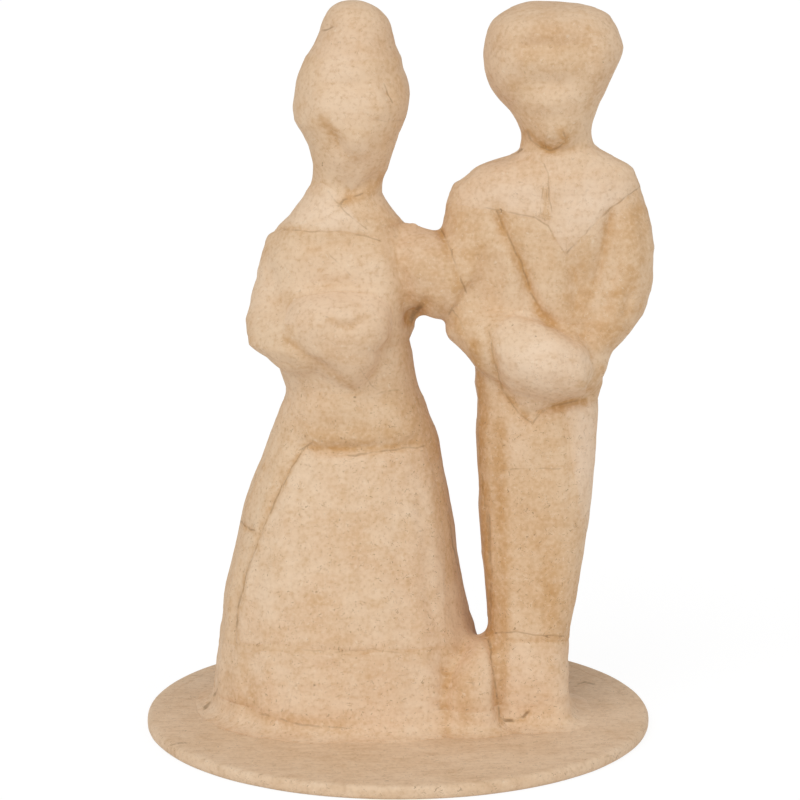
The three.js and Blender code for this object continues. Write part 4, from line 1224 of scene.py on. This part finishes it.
# The part of the board that the figures hide in the photograph: left, right, front and top, in millimetres
HIDDEN_BOARD = (-43, 42, -6, 8)
DARK_LINE_REACH = 9  # pixels, and half widths


def behind_figures(points):
    left, right, front, top = HIDDEN_BOARD
    x, y, z = points.T
    return step(left - 2, left, x) * step(right + 2, right, x) * step(front, front + 4, y) * (z < top)


def wandering(points, seen, reach, size, seeds):
    """Where points are seen, moved about a little, so that straight lines come out as if torn."""
    return seen + reach * np.stack([rough(points, size, seed) for seed in seeds], axis=1)


def near_line(seen, line, reach):
    box = np.array(line)
    return np.flatnonzero(((seen > box.min(axis=0) - reach) & (seen < box.max(axis=0) + reach)).all(axis=1))


def paint(mesh):
    """Writes on the mesh's points where the surface is stained, pale and cracked, where shade is painted in
    hollows, creases and a few shadows, and where light is painted on the skirt's right side.
    """
    points, normals = points_of(mesh), normals_of(mesh)
    seen = photo_xy(points)
    facing = step(-0.05, 0.25, normals @ TO_CAMERA) * (1 - behind_figures(points))
    stain_and_shade, pale = np.zeros(len(points)), np.zeros(len(points))
    wander = wandering(points, seen, 3, 3, (0.4, 7.4))
    for strength, width, line in STAINS_AND_SHADE:
        near = near_line(seen, line, 3 * width)
        away = line_distance(wander[near], line)
        stain_and_shade[near] = np.maximum(stain_and_shade[near], strength * np.exp(-((away / width) ** 2)))
    for strength, x, y, wide, tall in PALES:
        away = ((seen[:, 0] - x) / wide) ** 2 + ((seen[:, 1] - y) / tall) ** 2
        pale = np.maximum(pale, strength * np.exp(-(away**2)))
    hidden = 1 - facing
    blotches = 0.6 * step(0.15, 0.5, rough(points, 13, 6.3)) * (0.7 + rough(points, 3, 2.9))
    # painted shade: darker in the surface's hollows, on every side
    stain_and_shade = stain_and_shade * facing + hidden * blotches + 0.75 * step(0.05, 0.45, point_values(mesh, "hollow"))
    pale = pale * facing + hidden * 0.6 * step(0.1, 0.5, rough(points, 16, 8.8))
    wander = wandering(points, seen, 1.3, 1.8, (3.3, 9.3))
    beside, cracked_and_shaded = np.full(len(points), float(DARK_LINE_REACH)), np.zeros(len(points))
    for strength, width, line in CRACKS_AND_SHADE_LINE:
        near = near_line(seen, line, DARK_LINE_REACH)
        away, share = dark_line_distance(wander[near], strength, width, line)
        closer = np.abs(away) < np.minimum(np.abs(beside[near]), 8)
        beside[near[closer]], cracked_and_shaded[near[closer]] = away[closer], (share * facing[near])[closer]
    for name, values in (("stain_and_shade", stain_and_shade), ("pale", pale), ("beside_dark_line", beside), ("cracked_and_shaded", cracked_and_shaded)):
        mesh.attributes.new(name, "FLOAT", "POINT").data.foreach_set("value", values.astype(np.float32))


# Materials


def srgb(red, green, blue):
    """A colour as it is seen, from 0 to 255, for a socket."""
    parts = [c / 255 for c in (red, green, blue)]
    return (*[c / 12.92 if c <= 0.04045 else ((c + 0.055) / 1.055) ** 2.4 for c in parts], 1)


class Value:
    """A socket on which Python's arithmetic adds Math nodes."""

    def __init__(self, shader, socket):
        self.shader, self.socket = shader, socket

    def __add__(self, other):
        return self.shader.math("ADD", self, other)

    def __radd__(self, other):
        return self.shader.math("ADD", other, self)

    def __sub__(self, other):
        return self.shader.math("SUBTRACT", self, other)

    def __rsub__(self, other):
        return self.shader.math("SUBTRACT", other, self)

    def __mul__(self, other):
        return self.shader.math("MULTIPLY", self, other)

    def __rmul__(self, other):
        return self.shader.math("MULTIPLY", other, self)


class Shader:
    """The nodes of a material or of the world."""

    def __init__(self, owner):
        owner.use_nodes = True
        self.tree = owner.node_tree
        self.tree.nodes.clear()

    def node(self, kind, settings=None, sockets=None, output=0):
        made = self.tree.nodes.new(kind)
        for key, value in (settings or {}).items():
            setattr(made, key, value)
        for key, value in (sockets or {}).items():
            if isinstance(value, Value):
                self.tree.links.new(value.socket, made.inputs[key])
            else:
                made.inputs[key].default_value = value
        return Value(self, made.outputs[output]) if made.outputs else made

    def math(self, operation, *values):
        return self.node("ShaderNodeMath", {"operation": operation}, dict(enumerate(values)))

    def vector(self, operation, *values):
        return self.node("ShaderNodeVectorMath", {"operation": operation}, dict(enumerate(values)))

    def mix(self, share, first, second):
        return self.node("ShaderNodeMix", {"data_type": "RGBA"}, {0: share, 6: first, 7: second}, 2)

    def step(self, low, high, value):
        sockets = {"Value": value, "From Min": low, "From Max": high}
        return self.node("ShaderNodeMapRange", {"interpolation_type": "SMOOTHSTEP"}, sockets)

    def noise(self, place, scale, detail=2.0, output=0):
        return self.node("ShaderNodeTexNoise", None, {"Vector": place, "Scale": scale, "Detail": detail}, output)

    def turned(self, place, turn, size):
        """Coordinates that are turned first, and then counted in cells of a size."""
        sockets = {"Vector": place, "Rotation": turn, "Scale": size}
        return self.node("ShaderNodeMapping", {"vector_type": "TEXTURE"}, sockets)

    def spots(self, place, size, thinned):
        """Small spots, one in some of the cells: 1 in a spot, 0 outside."""
        away = self.node("ShaderNodeTexVoronoi", None, {"Vector": place, "Scale": 1})
        cell = self.node("ShaderNodeTexVoronoi", None, {"Vector": place, "Scale": 1}, 1)
        chance = self.node("ShaderNodeSeparateColor", None, {0: cell})
        return self.step(size, size * 0.6, away) * self.math("GREATER_THAN", chance, thinned)

    def attribute(self, name):
        return self.node("ShaderNodeAttribute", {"attribute_name": name}, None, 2)


# Fibres lie along the front and back, along the sides, or level; their cells are long and thin, in metres
DARK_FIBRES = ((0, 0.5, 0), (0, 2.3, 0), (0, 1.1, 1.57), (0, 0, 0.7))
PALE_FIBRES = ((0, 1.3, 0), (0.3, 2.8, 0.5))
FIBRE_SIZE = (0.004, 0.00025, 0.00025)
STREAK_SIZE = (0.011, 0.0016, 0.0016)
SPECK_SIZE = (0.0026, 0.0026, 0.0026)
FLECK_SIZE = (0.0018, 0.0018, 0.0018)
FIBRE_BEND = (0.002, 0.002, 0.002)
MORE_FIBRES = (0.105, 0.075)

# Colours as they are seen, from 0 to 255, and how much a brush has streaked them
FINISHES = {
    "kraft_paper": {"main": (221, 187, 150), "light": (229, 200, 167), "dark": (197, 149, 92)},
    "pale_paper": {"main": (225, 192, 158), "light": (233, 206, 176), "dark": (202, 158, 105)},
    "paper_pulp": {"main": (222, 188, 153), "light": (230, 201, 169), "dark": (198, 151, 97)},
    "base_paper": {"main": (221, 190, 156), "light": (229, 201, 170), "dark": (196, 158, 118), "brushed": 0.22},
    "grey_board": {"main": (176, 164, 146), "light": (190, 180, 163), "dark": (150, 138, 120), "brushed": 0.1},
}


def shade(colour, share):
    """A colour made darker or lighter."""
    return srgb(*[min(255, share * c) for c in colour])


def paper(name, main, light, dark, brushed=0.13):
    """Pasted brown paper: blotched by glue, darkened by painted shade and lightened by painted light in places,
    with fibres and specks in it and a fine grain.
    """
    material = bpy.data.materials.new(name)
    make = Shader(material)
    place = make.node("ShaderNodeTexCoord", None, None, 3)
    broad = make.noise(place, 60, 4)
    medium = make.noise(place, 260, 4)
    fine = make.noise(place, 1000, 4)
    grain = make.noise(place, 5200, 2)
    bend = make.vector("SUBTRACT", make.noise(place, 700, 1, 1), (0.5, 0.5, 0.5))
    bent = make.vector("ADD", place, make.vector("MULTIPLY", bend, FIBRE_BEND))
    dark_fibre, pale_fibre = 0, 0
    for turn in DARK_FIBRES:
        dark_fibre = make.spots(make.turned(bent, turn, FIBRE_SIZE), 0.36, 0.955) + dark_fibre
    level = make.node("ShaderNodeSeparateXYZ", None, {0: place}, 2)
    dark_fibre = dark_fibre * (0.4 + 0.6 * make.step(*MORE_FIBRES, level))
    for turn in PALE_FIBRES:
        pale_fibre = make.spots(make.turned(bent, turn, FIBRE_SIZE), 0.34, 0.86) + pale_fibre
    speck = make.spots(make.turned(bent, (0.3, 0.7, 0.2), SPECK_SIZE), 0.12, 0.96)
    fleck = make.spots(make.turned(bent, (1.3, 0.2, 0.9), FLECK_SIZE), 0.22, 0.85)

    broken = make.step(0.32, 0.6, make.noise(place, 330, 2))
    crack_and_shade = make.step(1.2, 0.3, make.math("ABSOLUTE", make.attribute("beside_dark_line")))
    crack_and_shade = crack_and_shade * make.attribute("cracked_and_shaded") * broken
    edge = make.attribute("edge") * make.step(0.3, 0.65, make.noise(place, 120, 3))
    # glue stains with painted shade in creases, hollows and a few shadows, and darker sheet edges
    glue_and_shade = make.attribute("stain_and_shade") * (0.45 + 1.0 * medium) + 0.15 * edge
    glue_and_shade = glue_and_shade + 0.24 * make.step(0.54, 0.8, make.noise(place, 95, 5))

    colour = make.mix(make.step(0.36, 0.64, broad), srgb(*main), srgb(*light))
    # paler paper, and painted light on the skirt's right side
    paler_tone = srgb(1.03 * light[0], 1.04 * light[1], 1.07 * light[2])
    colour = make.mix(0.8 * make.attribute("pale"), colour, paler_tone)
    colour = make.mix(make.math("MINIMUM", 0.85 * glue_and_shade, 0.9), colour, srgb(*dark))
    colour = make.mix(0.22 * make.step(0.46, 0.72, medium), colour, srgb(*dark))
    colour = make.mix(0.2 * make.step(0.54, 0.3, medium), colour, srgb(*light))
    colour = make.mix(0.34 * make.step(0.48, 0.75, fine), colour, shade(dark, 0.94))
    colour = make.mix(0.34 * make.step(0.52, 0.3, fine), colour, shade(light, 1.03))
    height = 0.07 * medium + 0.05 * fine + 0.012 * grain + 0.015 * dark_fibre - 0.02 * speck - 0.06 * crack_and_shade
    streak = make.noise(make.turned(place, (0, 0, 0.06), STREAK_SIZE), 1, 4)
    colour = make.mix(brushed * make.step(0.45, 0.7, streak), colour, srgb(*dark))
    colour = make.mix(brushed * make.step(0.55, 0.3, streak), colour, srgb(*light))
    height = height + 0.45 * brushed * streak
    colour = make.mix(0.3 * make.math("MINIMUM", pale_fibre, 1), colour, srgb(238, 220, 196))
    colour = make.mix(0.3 * fleck, colour, srgb(240, 222, 198))
    colour = make.mix(0.62 * make.math("MINIMUM", dark_fibre, 1), colour, shade(dark, 0.68))
    colour = make.mix(0.5 * speck, colour, shade(dark, 0.6))
    # cracks, and the painted shadow line under the linking arm
    colour = make.mix(0.75 * crack_and_shade, colour, shade(dark, 0.66))

    bump = make.node("ShaderNodeBump", None, {"Strength": 1, "Distance": MM, "Height": height})
    surface = make.node(
        "ShaderNodeBsdfPrincipled",
        None,
        {"Base Color": colour, "Roughness": 0.55 + 0.25 * medium, "Normal": bump, "IOR": 1.4},
    )
    make.node("ShaderNodeOutputMaterial", None, {"Surface": surface})
    return material


def finish(slot):
    """The material of a slot, made when it is first asked for."""
    name = "pasted_" + slot
    return bpy.data.materials.get(name) or paper(name, **FINISHES[slot])


# Stage

FLOOR_SIZE = 6
FLOOR_WHITE = 1.08
FLOOR_SHARE = 0.82
ROOM_LIGHT = 0.66
# Name, strength, spread in degrees, and where it shines to
LAMPS = (
    ("key_lamp", 1.1, 50, (0.45, 0.8, -0.7)),
    ("side_lamp", 0.6, 70, (-0.85, 0.6, -0.3)),
)


def stage():
    """A white floor that keeps its shadow, an even room and two soft lamps."""
    bm = bmesh.new()
    bmesh.ops.create_grid(bm, x_segments=1, y_segments=1, size=FLOOR_SIZE / 2)
    floor = new_object("floor", mesh_from("floor", bm))
    white_floor = bpy.data.materials.new("white_floor")
    make = Shader(white_floor)
    rays = [make.node("ShaderNodeLightPath", None, None, output) for output in (0, 3, 6)]
    shown = make.math("MINIMUM", rays[0] + rays[1] + rays[2], 1)
    lit = make.node("ShaderNodeBsdfDiffuse", None, {"Color": (0.9, 0.9, 0.9, 1)})
    white = make.node("ShaderNodeEmission", None, {"Color": (1, 1, 1, 1), "Strength": FLOOR_WHITE})
    both = make.node("ShaderNodeMixShader", None, {0: FLOOR_SHARE * shown, 1: lit, 2: white})
    make.node("ShaderNodeOutputMaterial", None, {"Surface": both})
    floor.data.materials.append(white_floor)

    world = bpy.data.worlds.new("white_room")
    bpy.context.scene.world = world
    make = Shader(world)
    camera_ray = make.node("ShaderNodeLightPath")
    strength = make.node("ShaderNodeMapRange", None, {"Value": camera_ray, "To Min": ROOM_LIGHT, "To Max": 1})
    sky = make.node("ShaderNodeBackground", None, {"Strength": strength})
    make.node("ShaderNodeOutputWorld", None, {"Surface": sky})

    for name, strength, spread, towards in LAMPS:
        data = bpy.data.lights.new(name, "SUN")
        data.energy = strength
        data.angle = math.radians(spread)
        lamp = bpy.data.objects.new(name, data)
        lamp.rotation_euler = Vector(towards).to_track_quat("-Z", "Y").to_euler()
        bpy.context.collection.objects.link(lamp)


skin = shaped_skin()
make_figures(skin)
stand(skin)
skin.faces.ensure_lookup_table()
skin.normal_update()
make_sheets(skin)
collars(skin)
board_pieces()
NODES["base_board"].data.materials.clear()
NODES["base_board"].data.materials.append(finish("grey_board"))
stage()
bpy.context.scene.view_settings.view_transform = "Standard"
